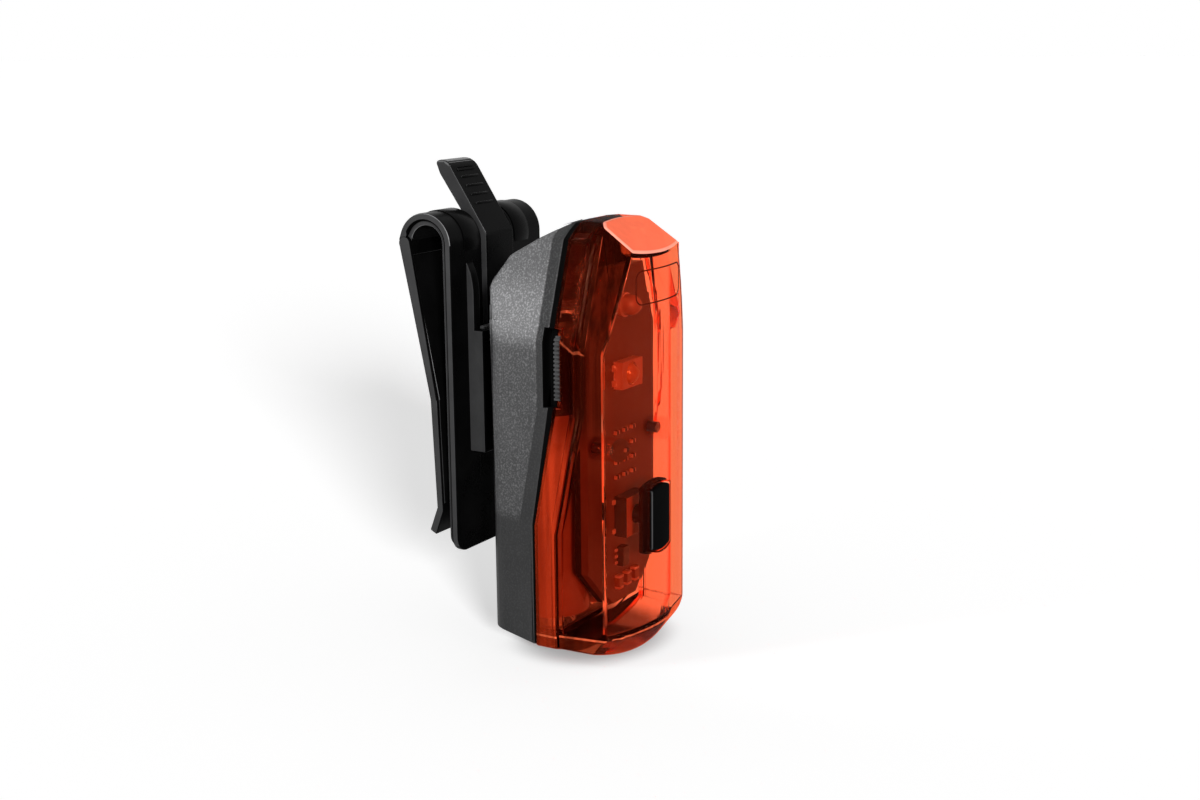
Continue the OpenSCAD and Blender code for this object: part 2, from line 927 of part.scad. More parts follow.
// Half ball in front of a depth
module half_ball(y, z, d) {
    intersection() {
        translate([0, y, z])
            sphere(d = d);
        block([-d, y - d, z - d], [d, y, z + d]);
    }
}

// Clear dome in the well of the main emitter
module emitter_dome() {
    color([1, 0.9, 0.6])
        half_ball(-board_y - emitter_t / 2, emitter_z, emitter_dome_d - 2 * run_gap);
}

module marker_emitter() {
    collar_w = 0.3;
    collar_t = 0.5;
    color([1, 0.8, 0.7])
        union() {
            rod_y(0, marker_z, marker_d, -board_y - marker_len, -board_y);
            rod_y(0, marker_z, marker_d + 2 * collar_w, -board_y - collar_t, -board_y);
            half_ball(-board_y - marker_len, marker_z, marker_d);
        }
}

module driver_chip() {
    color([0.05, 0.05, 0.05])
        on_board(chip_x, chip_z, chip_w, chip_h, chip_t);
}

// Two rows of three pins beside the chip
module chip_pins() {
    pin_w = 0.4;
    pin_len = 0.6;
    pin_t = 0.2;
    color("silver")
        for (side = [-1, 1])
            for (i = [-1 : 1])
                on_board(chip_x + side * (chip_w + pin_len) / 2, chip_z + i * pin_pitch, pin_len, pin_w, pin_t);
}

module resistors() {
    body_w = 1;
    body_h = 0.5;
    body_t = 0.4;
    color([0.1, 0.1, 0.1])
        for (row = [0 : 3])
            for (column = [-1 : 1])
                on_board(column * resistor_pitch, resistor_z + row * resistor_row, body_w, body_h, body_t);
}

module capacitors() {
    body_w = 1.2;
    body_h = 2;
    body_t = 0.8;
    foot_room = 2.2;
    color("tan")
        for (column = [-1 : 1])
            on_board(column * capacitor_pitch, board_low_z + foot_room + body_h / 2, body_w, body_h, body_t);
}

module tact_switch() {
    color([0.15, 0.15, 0.15])
        difference() {
            on_board(0, button_z, switch_w, switch_w, switch_t);
            rod_y(0, button_z, plunger_d + 2 * run_gap, switch_front_y - margin, -board_y - switch_base_t);
        }
}

module button_cap() {
    flange_out = -lens_wall - flange_gap;
    color([0.04, 0.04, 0.04])
        difference() {
            union() {
                intersection() {
                    along_y(-span, switch_front_y)
                        button_outline(0);
                    behind_front(button_proud);
                }
                intersection() {
                    along_y(-span, switch_front_y)
                        button_outline(button_flange);
                    behind_front(flange_out);
                    along_y(dome_front_y + lens_wall, dome_front_y + lens_wall + flange_t)
                        square(4 * light_h, center = true);
                }
            }
            along_y(dome_front_y + lens_wall + flange_t, 0)
                square(4 * light_h, center = true);
        }
}

module switch_plunger() {
    plunger_front_y = dome_front_y + lens_wall + flange_t;
    plunger_rear_y = -board_y - switch_base_t - button_travel - flange_gap;
    color([0.12, 0.12, 0.12])
        rod_y(0, button_z, plunger_d, plunger_front_y, plunger_rear_y);
}

// Side view of the plate and its bend, between two set-ins from the outer face
module bend_side(out, in) {
    difference() {
        union() {
            translate([plate_front_y + out, plate_low_z - margin])
                square([in - out, bend_z - plate_low_z + margin]);
            intersection() {
                difference() {
                    translate([bend_y, bend_z])
                        circle(r = bend_out_r - out);
                    translate([bend_y, bend_z])
                        circle(r = bend_out_r - in);
                }
                translate([bend_y - span / 2, bend_z])
                    square([span, span]);
            }
        }
        translate([hinge_y, bend_z])
            circle(r = hinge_r + run_gap);
    }
}

// Front view of the clip plate with round lower corners
module plate_front(inset) {
    half = clip_w / 2 - inset;
    r = plate_corner_r - inset;
    low = plate_low_z + inset;
    difference() {
        translate([-half, low])
            square([2 * half, light_h]);
        both_sides()
            difference() {
                translate([half - r, low - margin])
                    square([r + margin, r + margin]);
                translate([half - r, low + r])
                    circle(r = r);
            }
    }
}

// Slot in the plate and the bend in which the tab swings
module tab_slot() {
    root_gap = hinge_r + run_gap;
    union() {
        block([-tab_slot_w / 2, plate_front_y - margin, tab_root_z],
              [tab_slot_w / 2, bend_y + bend_out_r + margin, bend_z + bend_out_r + margin]);
        translate([-tab_slot_w / 2, tab_pivot_y, tab_root_z])
            rotate([0, 90, 0])
                cylinder(r = root_gap, h = tab_slot_w);
    }
}

// Channel for the rail: side walls, lips, stop and the thin guides above
module channel() {
    outer = channel_half + channel_wall;
    lip_half = neck_w / 2 + slide_gap;
    guide_high_z = channel_high_z + guide_len;
    taper_z = guide_high_z - guide_taper;
    taper_r = (pow(guide_taper, 2) + pow(guide_t, 2)) / (2 * guide_t);
    both_sides() {
        block([channel_half, channel_front_y, channel_low_z - stop_h],
              [outer, plate_front_y + strip_t / 2, channel_high_z]);
        block([lip_half, channel_front_y, channel_low_z - stop_h],
              [channel_half + margin, lip_rear_y, channel_high_z]);
        block([channel_half, plate_front_y - guide_t, channel_high_z - margin],
              [outer, plate_front_y + strip_t / 2, taper_z]);
        intersection() {
            block([channel_half, plate_front_y - guide_t, taper_z],
                  [outer, plate_front_y + strip_t / 2, guide_high_z]);
            translate([0, plate_front_y - guide_t + taper_r, taper_z])
                rotate([0, 90, 0])
                    cylinder(r = taper_r, h = light_w, $fn = arc_fn);
        }
    }
    block([-outer, channel_front_y, channel_low_z - stop_h],
          [outer, plate_front_y + strip_t / 2, channel_low_z]);
}

module clip_plate() {
    color([0.12, 0.12, 0.12])
        difference() {
            union() {
                intersection() {
                    along_x(-clip_w / 2, clip_w / 2)
                        bend_side(0, strip_t);
                    along_y(-span, span)
                        plate_front(0);
                }
                channel();
            }
            tab_slot();
        }
}

module plate_liner() {
    color([0.06, 0.06, 0.06])
        difference() {
            intersection() {
                along_x(-clip_w / 2, clip_w / 2)
                    bend_side(strip_t, strip_all);
                along_y(-span, span)
                    plate_front(liner_inset);
            }
            tab_slot();
        }
}

// Extra thickness of the leg at its knee, and the slant of the lip's two ends
knee_extra = 0.15;
lip_step = 0.4;
lip_cut = 0.6;

// Side view of the leg from its knuckle to the lip: inner and outer faces
function leg_inner() = [
    [hinge_y - hinge_r, bend_z],
    [plate_rear_y + knee_gap, knee_z],
    [plate_rear_y + toe_gap, lip_z],
    [plate_rear_y + toe_gap + lip_out, lip_tip_z - lip_cut]
];
function leg_outer() = [
    [hinge_y + hinge_r, bend_z],
    [plate_rear_y + knee_gap + toe_t + knee_extra, knee_z],
    [plate_rear_y + toe_gap + toe_t, lip_z + lip_step],
    [plate_rear_y + toe_gap + toe_t + lip_out, lip_tip_z]
];

function shifted(list, d) = [for (p = list) [p[0] + d, p[1]]];

module clip_leg() {
    color([0.12, 0.12, 0.12])
        difference() {
            union() {
                along_x(-clip_w / 2, clip_w / 2)
                    polygon(concat(leg_inner(), reversed(leg_outer())));
                translate([-clip_w / 2, hinge_y, bend_z])
                    rotate([0, 90, 0])
                        cylinder(r = hinge_r, h = clip_w);
            }
            leg_pocket(0);
        }
}

// Pocket in the inner face of the leg that holds the liner
module leg_pocket(gap) {
    leg_ply = 0.45;
    half = clip_w / 2 - liner_inset - gap;
    line = [leg_inner()[0] + [0, -hinge_r * 2], leg_inner()[1], leg_inner()[2] + [0, 1]];
    along_x(-half, half)
        polygon(concat(shifted(line, gap > 0 ? 0 : -margin), reversed(shifted(line, leg_ply))));
}

module leg_liner() {
    color([0.06, 0.06, 0.06])
        intersection() {
            leg_pocket(fit_gap / 2);
            along_x(-clip_w, clip_w)
                polygon(concat(leg_inner(), reversed(leg_outer())));
        }
}

// Side view of the tab: tongue, catch and leaning thumb piece
module tab_side() {
    lean_x = tan(tab_lean);
    rise = tab_top_z - tab_bend_z;
    top_front = tab_front_y + rise * lean_x;
    back_off = tab_t / cos(tab_lean);
    tip = 0.5;
    hook_y = 0.8;
    hook_z = 2;
    hollow_y = 1.2;
    hollow_z = 1.6;
    foot_y = 0.1;
    foot_z = 0.8;
    polygon([
        [tab_pivot_y - hinge_r, tab_root_z],
        [tab_front_y, catch_low_z - catch_reach],
        [tab_front_y, tab_bend_z],
        [top_front - tip * lean_x, tab_top_z - tip],
        [top_front + tip, tab_top_z],
        [top_front + back_off, tab_top_z],
        [top_front + back_off - hook_y, tab_top_z - hook_z],
        [tab_front_y + back_off + hollow_y, tab_bend_z + hollow_z],
        [tab_front_y + tab_t + foot_y, tab_bend_z - foot_z],
        [tab_pivot_y + hinge_r, tab_root_z]
    ]);
}

module release_tab() {
    color([0.1, 0.1, 0.1])
        union() {
            along_x(-tab_w / 2, tab_w / 2)
                tab_side();
            translate([-tab_w / 2, tab_pivot_y, tab_root_z])
                rotate([0, 90, 0])
                    cylinder(r = hinge_r, h = tab_w);
            along_x(-catch_w / 2, catch_w / 2)
                polygon([
                    [tab_front_y + tab_t / 2, catch_low_z],
                    [tab_front_y - catch_reach, catch_low_z],
                    [tab_front_y - catch_reach, catch_low_z + catch_h / 3],
                    [tab_front_y + tab_t / 2, catch_low_z + catch_h + catch_h / 2]
                ]);
            for (i = [0 : rib_count - 1])
                translate([0, tab_front_y, tab_bend_z])
                    rotate([-tab_lean, 0, 0])
                        translate([rib_inset - tab_w / 2, -rib_size / 2, rib_start + i * rib_pitch])
                            cube([tab_w - 2 * rib_inset, rib_size, rib_size]);
        }
}

at_mount() clip_plate();
at_mount() plate_liner();
at_mount() clip_leg();
at_mount() leg_liner();
at_mount() release_tab();
at_mount() rear_housing();
at_mount() seal_ring();
at_mount() cell_left();
at_mount() cell_right();
at_mount() cell_terminals();
at_mount() contact_bridge();
at_mount() contact_springs();
at_mount() contact_plates();
at_mount() lens();
at_mount() pry_strip();
at_mount() inner_frame();
at_mount() circuit_board();
at_mount() board_screws();
at_mount() main_emitter();
at_mount() emitter_dome();
at_mount() marker_emitter();
at_mount() driver_chip();
at_mount() chip_pins();
at_mount() resistors();
at_mount() capacitors();
at_mount() tact_switch();
at_mount() button_cap();
at_mount() switch_plunger();
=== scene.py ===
import json
import math
from contextlib import contextmanager

import bmesh
import bpy
from mathutils import Matrix, Vector

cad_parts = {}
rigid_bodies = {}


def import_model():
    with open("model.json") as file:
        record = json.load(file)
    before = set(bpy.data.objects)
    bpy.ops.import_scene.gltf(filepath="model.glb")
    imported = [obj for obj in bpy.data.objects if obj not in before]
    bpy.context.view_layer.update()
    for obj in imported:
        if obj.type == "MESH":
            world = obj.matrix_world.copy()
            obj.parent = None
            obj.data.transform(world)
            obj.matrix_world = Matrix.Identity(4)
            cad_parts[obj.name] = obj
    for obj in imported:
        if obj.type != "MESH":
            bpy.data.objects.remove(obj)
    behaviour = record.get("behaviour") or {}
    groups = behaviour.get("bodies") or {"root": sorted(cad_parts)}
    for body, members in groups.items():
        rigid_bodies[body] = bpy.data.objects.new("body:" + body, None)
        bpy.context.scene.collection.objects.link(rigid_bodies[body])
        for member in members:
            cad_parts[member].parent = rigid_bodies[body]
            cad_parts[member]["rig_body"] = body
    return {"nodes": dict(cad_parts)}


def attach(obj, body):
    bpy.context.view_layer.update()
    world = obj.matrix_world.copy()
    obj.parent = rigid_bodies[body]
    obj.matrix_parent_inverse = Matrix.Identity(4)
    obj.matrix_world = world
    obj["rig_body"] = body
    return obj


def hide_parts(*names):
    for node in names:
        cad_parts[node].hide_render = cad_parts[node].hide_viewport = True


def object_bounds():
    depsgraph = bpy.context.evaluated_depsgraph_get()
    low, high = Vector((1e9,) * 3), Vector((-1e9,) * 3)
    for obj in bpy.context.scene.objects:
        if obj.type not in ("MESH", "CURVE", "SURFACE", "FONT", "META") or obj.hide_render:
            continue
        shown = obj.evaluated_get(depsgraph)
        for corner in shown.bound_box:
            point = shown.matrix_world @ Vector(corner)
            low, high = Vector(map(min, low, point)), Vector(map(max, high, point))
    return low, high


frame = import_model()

cad_low, cad_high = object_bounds()

# Lengths are in mm and angles in degrees, except where a comment says metres.
MM = 0.001
WHITE = (1, 1, 1, 1)
ALONG_X = (1, 0, 0)
UP = Vector((0, 0, 1))
BOTH_SIDES = (-1, 1)


def mm(*lengths):
    """Lengths in mm as metres."""
    return [length * MM for length in lengths]


# Camera, at the photograph's viewing angle, with places in metres

CAMERA_AZIMUTH = -59.33
CAMERA_ELEVATION = 12.28
CAMERA_ROLL = -0.51
CAMERA_DISTANCE = 0.24468
CAMERA_LENS = 50.3
CAMERA_SENSOR = 36
CAMERA_NEAR = 0.01
CAMERA_FAR = 50
CAMERA_TARGET = Vector((0.00003, -0.01931, 0.01163))


def place_camera():
    turn = math.radians(CAMERA_AZIMUTH)
    rise = math.radians(CAMERA_ELEVATION)
    roll = math.radians(CAMERA_ROLL)
    back = Vector((math.sin(turn) * math.cos(rise), -math.cos(turn) * math.cos(rise),
                   math.sin(rise)))
    right = Vector((math.cos(turn), math.sin(turn), 0))
    up = back.cross(right)
    across = right * math.cos(roll) + up * math.sin(roll)
    upward = up * math.cos(roll) - right * math.sin(roll)
    camera = bpy.data.objects.new("camera", bpy.data.cameras.new("camera"))
    camera.data.lens = CAMERA_LENS
    camera.data.sensor_width = CAMERA_SENSOR
    camera.data.clip_start = CAMERA_NEAR
    camera.data.clip_end = CAMERA_FAR
    facing = Matrix((across, upward, back)).transposed().to_4x4()
    camera.matrix_world = Matrix.Translation(CAMERA_TARGET + back * CAMERA_DISTANCE) @ facing
    bpy.context.scene.collection.objects.link(camera)
    bpy.context.scene.camera = camera


# Node helpers

MIX_COLOUR_IN = (0, 6, 7)
MIX_COLOUR_OUT = 2
FLOAT = "NodeSocketFloat"
VECTOR = "NodeSocketVector"


def new_material(name):
    material = bpy.data.materials.new(name)
    material.use_nodes = True
    return material, material.node_tree.nodes, material.node_tree.links


def new_group(name, inputs, outputs):
    group = bpy.data.node_groups.new(name, "ShaderNodeTree")
    for label, kind, value in inputs:
        socket = group.interface.new_socket(label, in_out="INPUT", socket_type=kind)
        if value is not None:
            socket.default_value = value
    for label, kind in outputs:
        group.interface.new_socket(label, in_out="OUTPUT", socket_type=kind)
    nodes, links = group.nodes, group.links
    return group, nodes, links, nodes.new("NodeGroupInput"), nodes.new("NodeGroupOutput")


def use_group(nodes, links, group, place, **values):
    node = nodes.new("ShaderNodeGroup")
    node.node_tree = group
    links.new(place, node.inputs["Place"])
    for key, value in values.items():
        node.inputs[key.replace("_", " ")].default_value = value
    return node


def add_node(nodes, kind, **values):
    """A node with values for its sockets and its settings."""
    node = nodes.new(kind)
    for key, value in values.items():
        if key in node.inputs:
            node.inputs[key].default_value = value
        else:
            setattr(node, key, value)
    return node


def feed(links, socket, value):
    """Gives a socket a plain value, or links an output to it."""
    if isinstance(value, (int, float, tuple)):
        socket.default_value = value
    else:
        links.new(value, socket)


def math_node(nodes, links, operation, *values, clamp=False):
    node = add_node(nodes, "ShaderNodeMath", operation=operation, use_clamp=clamp)
    for socket, value in zip(node.inputs, values):
        feed(links, socket, value)
    return node.outputs[0]


def mix_colour(nodes, links, factor, first, second):
    node = add_node(nodes, "ShaderNodeMix", data_type="RGBA")
    for index, value in zip(MIX_COLOUR_IN, (factor, first, second)):
        feed(links, node.inputs[index], value)
    return node.outputs[MIX_COLOUR_OUT]


def mix_shaders(nodes, links, factor, first, second):
    node = nodes.new("ShaderNodeMixShader")
    for socket, value in zip(node.inputs, (factor, first, second)):
        feed(links, socket, value)
    return node.outputs[0]


def between(nodes, links, value, low, high, out_low=0.0, out_high=1.0, smooth=False):
    """Maps one range of a value to another and stops at its ends."""
    node = nodes.new("ShaderNodeMapRange")
    node.interpolation_type = "SMOOTHSTEP" if smooth else "LINEAR"
    links.new(value, node.inputs[0])
    for index, number in enumerate((low, high, out_low, out_high), 1):
        node.inputs[index].default_value = number
    return node.outputs[0]


def scaled(nodes, links, share, low, high):
    """Turns a share of 0 to 1 into a value between two others."""
    return between(nodes, links, share, 0.0, 1.0, low, high)


def object_place(nodes):
    return nodes.new("ShaderNodeTexCoord").outputs["Object"]


def split_place(nodes, links, place):
    split = nodes.new("ShaderNodeSeparateXYZ")
    links.new(place, split.inputs[0])
    return split.outputs


def noise(nodes, links, place, scale, **values):
    node = add_node(nodes, "ShaderNodeTexNoise", **values)
    links.new(place, node.inputs["Vector"])
    feed(links, node.inputs["Scale"], scale)
    return node.outputs[0]


def add_relief(nodes, links, height, strength, depth):
    """Raises a height on a material's surface."""
    bump = add_node(nodes, "ShaderNodeBump", Strength=strength, Distance=depth * MM)
    links.new(height, bump.inputs["Height"])
    links.new(bump.outputs[0], nodes["Principled BSDF"].inputs["Normal"])


# Shared effects. Their scales are counts per metre.

GRAINS = 2600.0
GRAIN_CLOUDS = 0.8
GRAIN_HALF = 0.5
FLECK_RANGE = (0.46, 0.68)
PATCHES = 220.0
PATCH_RANGE = (0.3, 0.7)
SCRATCHES = 900.0
SCRATCH_RANGE = (0.66, 0.74)
SCRATCH_TURN = (0.5, 0.3, 0.7)
SCRATCH_STRETCH = (1.0, 0.06, 0.06)
STREAKS = 900.0
STREAK_RANGE = (0.35, 0.7)
STREAK_STRETCH = (1.0, 1.0, 0.04)


def make_grain_group():
    """Fine spark-eroded grain: a height and a mask of bright flecks."""
    group, nodes, links, start, end = new_group(
        "moulded_grain",
        [("Place", VECTOR, None), ("Grains per metre", FLOAT, GRAINS)],
        [("Height", FLOAT), ("Flecks", FLOAT)])
    place, grains = start.outputs["Place"], start.outputs["Grains per metre"]
    cells = add_node(nodes, "ShaderNodeTexVoronoi", feature="F1")
    links.new(place, cells.inputs["Vector"])
    links.new(grains, cells.inputs["Scale"])
    clouds = math_node(nodes, links, "MULTIPLY", grains, GRAIN_CLOUDS)
    cloud = noise(nodes, links, place, clouds, Detail=3.0, Roughness=0.65)
    bumps = math_node(nodes, links, "SUBTRACT", 1.0, cells.outputs["Distance"])
    bumps = math_node(nodes, links, "MULTIPLY", bumps, GRAIN_HALF)
    swell = math_node(nodes, links, "MULTIPLY", cloud, GRAIN_HALF)
    links.new(math_node(nodes, links, "ADD", bumps, swell), end.inputs["Height"])
    links.new(between(nodes, links, cloud, *FLECK_RANGE, smooth=True), end.inputs["Flecks"])
    return group


def make_handling_group():
    """Light handling: broad patches of dull and bright, and hair-fine scratches."""
    group, nodes, links, start, end = new_group(
        "handling",
        [("Place", VECTOR, None), ("Patches per metre", FLOAT, PATCHES),
         ("Scratches per metre", FLOAT, SCRATCHES)],
        [("Patches", FLOAT), ("Scratches", FLOAT)])
    place = start.outputs["Place"]
    patch = noise(nodes, links, place, start.outputs["Patches per metre"],
                  Detail=4.0, Roughness=0.55)
    links.new(between(nodes, links, patch, *PATCH_RANGE), end.inputs["Patches"])
    turn = add_node(nodes, "ShaderNodeMapping", Rotation=SCRATCH_TURN, Scale=SCRATCH_STRETCH)
    links.new(place, turn.inputs["Vector"])
    hair = noise(nodes, links, turn.outputs[0], start.outputs["Scratches per metre"], Detail=2.0)
    links.new(between(nodes, links, hair, *SCRATCH_RANGE), end.inputs["Scratches"])
    return group


GRAIN = make_grain_group()
HANDLING = make_handling_group()


def flow_streaks(nodes, links, place):
    """Upright streaks where the plastic flowed in the mould."""
    stretch = add_node(nodes, "ShaderNodeMapping", Scale=STREAK_STRETCH)
    links.new(place, stretch.inputs["Vector"])
    flow = noise(nodes, links, stretch.outputs[0], STREAKS, Detail=3.0)
    return between(nodes, links, flow, *STREAK_RANGE)


# Materials

BLUE_CAST = 1.02
SCRATCH_DULLS = 0.08
GRAIN_DEPTH = 0.02


def grey(level):
    return level, level, level * BLUE_CAST, 1


def greys(low, high):
    return grey(low), grey(high)


def plastic(name, colours, rough, grain=0.0, grains=GRAINS, metal=0.0, shine=0.5):
    """Moulded plastic, rubber or metal with handling marks and, where asked for, a grain."""
    material, nodes, links = new_material(name)
    shader = nodes["Principled BSDF"]
    place = object_place(nodes)
    marks = use_group(nodes, links, HANDLING, place)
    patches = marks.outputs["Patches"]
    links.new(mix_colour(nodes, links, patches, *colours), shader.inputs["Base Color"])
    dull = scaled(nodes, links, patches, *rough)
    dull = math_node(nodes, links, "MULTIPLY_ADD", marks.outputs["Scratches"], SCRATCH_DULLS, dull)
    links.new(dull, shader.inputs["Roughness"])
    shader.inputs["Metallic"].default_value = metal
    shader.inputs["Specular IOR Level"].default_value = shine
    if grain:
        fine = use_group(nodes, links, GRAIN, place, Grains_per_metre=grains)
        add_relief(nodes, links, fine.outputs["Height"], grain, GRAIN_DEPTH)
    return material


# The seam in the housing's side runs between two bends, each given as depth and height. The grained
# panel keeps away from it and ends above the lower side. At the shoulder it carries a painted
# highlight, paler there and fading part way again above.
SEAM_LOW = (-16.2, -4.4)
SEAM_HIGH = (-19.6, 12.7)
SEAM_BAND = 2.6
EDGE_FADE = 0.1
PANEL_FADE = (-4.6, -2.4)
HIGHLIGHT_RISE = (20.5, 24)
HIGHLIGHT_FADE = (27, 33)
HIGHLIGHT_REST = 0.45
PLAIN_GREYS = greys(0.018, 0.024)
PANEL_GREYS = greys(0.035, 0.044)
HIGHLIGHT_GREY = grey(0.1)
FLECK_GREY = grey(0.095)
HIGHLIGHT_FLECK_GREY = grey(0.22)
HOUSING_GRAINS = 4600.0
HOUSING_PATCHES = 160.0
HOUSING_SHINE = 0.15
HOUSING_ROUGH = (0.5, 0.46)
HOUSING_RELIEF = 0.8
HOUSING_DEPTH = 0.05
PLAIN_RELIEF = 0.15


def housing_plastic():
    """Grey housing: sparkling grain on the panels, smoother and darker along the seam and below."""
    material, nodes, links = new_material("housing_grey")
    shader = nodes["Principled BSDF"]
    place = object_place(nodes)
    split = split_place(nodes, links, place)
    depth, height = split["Y"], split["Z"]
    seam = between(nodes, links, height,
                   *mm(SEAM_LOW[1], SEAM_HIGH[1], SEAM_LOW[0], SEAM_HIGH[0]))
    behind = math_node(nodes, links, "SUBTRACT", depth, seam)
    panel = between(nodes, links, behind, *mm(SEAM_BAND - EDGE_FADE, SEAM_BAND + EDGE_FADE))
    above = between(nodes, links, height, *mm(*PANEL_FADE), smooth=True)
    panel = math_node(nodes, links, "MULTIPLY", panel, above)
    # Painted highlight: the panel and its flecks are painted paler at the shoulder, where light
    # falls on it.
    painted_highlight = between(nodes, links, height, *mm(*HIGHLIGHT_RISE), smooth=True)
    highlight_fading = between(nodes, links, height, *mm(*HIGHLIGHT_FADE), 1.0, HIGHLIGHT_REST, smooth=True)
    painted_highlight = math_node(nodes, links, "MULTIPLY", painted_highlight, highlight_fading)
    fine = use_group(nodes, links, GRAIN, place, Grains_per_metre=HOUSING_GRAINS)
    marks = use_group(nodes, links, HANDLING, place, Patches_per_metre=HOUSING_PATCHES)
    relief = scaled(nodes, links, panel, PLAIN_RELIEF, 1.0)
    plain_grey = mix_colour(nodes, links, marks.outputs["Patches"], *PLAIN_GREYS)
    panel_grey = mix_colour(nodes, links, marks.outputs["Patches"], *PANEL_GREYS)
    panel_grey = mix_colour(nodes, links, painted_highlight, panel_grey, HIGHLIGHT_GREY)
    ground = mix_colour(nodes, links, panel, plain_grey, panel_grey)
    fleck_grey = mix_colour(nodes, links, painted_highlight, FLECK_GREY, HIGHLIGHT_FLECK_GREY)
    flecks = math_node(nodes, links, "MULTIPLY", fine.outputs["Flecks"], relief)
    links.new(mix_colour(nodes, links, flecks, ground, fleck_grey), shader.inputs["Base Color"])
    links.new(scaled(nodes, links, panel, *HOUSING_ROUGH), shader.inputs["Roughness"])
    shader.inputs["Specular IOR Level"].default_value = HOUSING_SHINE
    grain = math_node(nodes, links, "MULTIPLY", fine.outputs["Height"], relief)
    add_relief(nodes, links, grain, HOUSING_RELIEF, HOUSING_DEPTH)
    return material


# The sleeve of a cell is dark above this height.
CELL_BAND = 11
SLEEVE_PALE = greys(0.4, 0.46)
SLEEVE_DARK = grey(0.01)
SLEEVE_ROUGH = (0.25, 0.35)


def cell_sleeve():
    """Printed sleeve: pale below, dark in the upper part."""
    material, nodes, links = new_material("cell_sleeve")
    shader = nodes["Principled BSDF"]
    place = object_place(nodes)
    patches = use_group(nodes, links, HANDLING, place).outputs["Patches"]
    pale = mix_colour(nodes, links, patches, *SLEEVE_PALE)
    upper = between(nodes, links, split_place(nodes, links, place)["Z"],
                    *mm(CELL_BAND, CELL_BAND + EDGE_FADE))
    links.new(mix_colour(nodes, links, upper, pale, SLEEVE_DARK), shader.inputs["Base Color"])
    links.new(scaled(nodes, links, patches, *SLEEVE_ROUGH), shader.inputs["Roughness"])
    return material


# The clear red plastic: tints of what is seen through it, and colours that it scatters itself.
# Among these are the painted shade on the dome's sides and the painted highlights on its lines and
# roof edges.
LENS_TINT = (1.0, 0.3, 0.165, 1)
LENS_TINT_DEEP = (1.0, 0.28, 0.15, 1)
LENS_FACE_TINT = (1.0, 0.52, 0.38, 1)
LENS_FRONT_TINT = (1.0, 0.68, 0.56, 1)
LENS_CORNER_TINT = (1.0, 0.34, 0.17, 1)
LENS_GLOSS_TINT = (1.0, 0.4, 0.25, 1)
POST_TINT = (1.0, 0.93, 0.9, 1)
LAMP_TINT = (0.5, 0.17, 0.09, 1)
LENS_BODY = (0.85, 0.066, 0.016, 1)
SIDE_PAINTED_SHADE = (0.02, 0.0017, 0.0005, 1)
ROOF_BODY = (1.0, 0.18, 0.09, 1)
GLINT_BODY = (1.0, 0.16, 0.06, 1)
ROOF_GLINT_BODY = (1.0, 0.34, 0.24, 1)
CLEAR_SHARE = (0.004, 0.025)
RIM_FADE = (12, 4)
SIDE_SHADE_RISE = (6, 13)
LENS_IOR = 1.35
POST_IOR = 1.01
LENS_GLOSS = 0.08
LENS_ROUGH = (0.02, 0.06)
CORNER_SLANT = (0.59, 0.65)


def let_lamps_through(nodes, links, shader):
    """Lamps and bounced light pass straight through a clear piece, tinted."""
    clear = add_node(nodes, "ShaderNodeBsdfTransparent", Color=LAMP_TINT)
    path = nodes.new("ShaderNodeLightPath").outputs
    lit = math_node(nodes, links, "MAXIMUM", path["Is Shadow Ray"], path["Is Diffuse Ray"])
    surface = mix_shaders(nodes, links, lit, shader, clear.outputs[0])
    links.new(surface, nodes["Material Output"].inputs["Surface"])


def red_lens(name, body_colour, share, fade=None,
             face_tint=LENS_FACE_TINT, corner_tint=LENS_CORNER_TINT, bend=LENS_IOR):
    """Clear red lens. The share is how much light the plastic itself scatters, between its
    clearest and its dullest streaks. With a fade, the share grows from nothing between two
    heights and shows from outside only."""
    material, nodes, links = new_material(name)
    gloss = nodes["Principled BSDF"]
    place = object_place(nodes)
    scratches = use_group(nodes, links, HANDLING, place).outputs["Scratches"]
    streaks = flow_streaks(nodes, links, place)
    links.new(mix_colour(nodes, links, streaks, LENS_TINT_DEEP, LENS_TINT),
              gloss.inputs["Base Color"])
    links.new(scaled(nodes, links, scratches, *LENS_ROUGH), gloss.inputs["Roughness"])
    gloss.inputs["Transmission Weight"].default_value = 1.0
    gloss.inputs["IOR"].default_value = LENS_IOR
    gloss.inputs["Specular Tint"].default_value = LENS_GLOSS_TINT
    clear = add_node(nodes, "ShaderNodeBsdfRefraction", Color=face_tint, Roughness=0.0, IOR=bend)
    straight = add_node(nodes, "ShaderNodeBsdfTransparent", Color=corner_tint)
    slant = add_node(nodes, "ShaderNodeLayerWeight", Blend=0.5).outputs["Facing"]
    corner = between(nodes, links, slant, *CORNER_SLANT, smooth=True)
    glass = mix_shaders(nodes, links, corner, clear.outputs[0], straight.outputs[0])
    glass = mix_shaders(nodes, links, LENS_GLOSS, glass, gloss.outputs[0])
    body = add_node(nodes, "ShaderNodeBsdfDiffuse", Color=body_colour)
    scatter = scaled(nodes, links, streaks, *share)
    if fade:
        height = split_place(nodes, links, place)["Z"]
        shown = between(nodes, links, height, *mm(*fade), smooth=True)
        inside = nodes.new("ShaderNodeNewGeometry").outputs["Backfacing"]
        shown = math_node(nodes, links, "SUBTRACT", shown, inside, clamp=True)
        scatter = math_node(nodes, links, "MULTIPLY", scatter, shown)
    let_lamps_through(nodes, links, mix_shaders(nodes, links, scatter, glass, body.outputs[0]))
    return material


STEEL = ((0.55, 0.55, 0.54, 1), (0.66, 0.65, 0.63, 1))
TIN = ((0.8, 0.8, 0.78, 1), (0.9, 0.9, 0.88, 1))
BOARD = ((0.21, 0.2, 0.18, 1), (0.27, 0.26, 0.235, 1))
TAN = ((0.3, 0.2, 0.12, 1), (0.38, 0.26, 0.16, 1))
DEEP_RED = ((0.05, 0.004, 0.001, 1), (0.07, 0.006, 0.002, 1))
PALE_AMBER = ((0.8, 0.72, 0.4, 1), (0.9, 0.82, 0.5, 1))

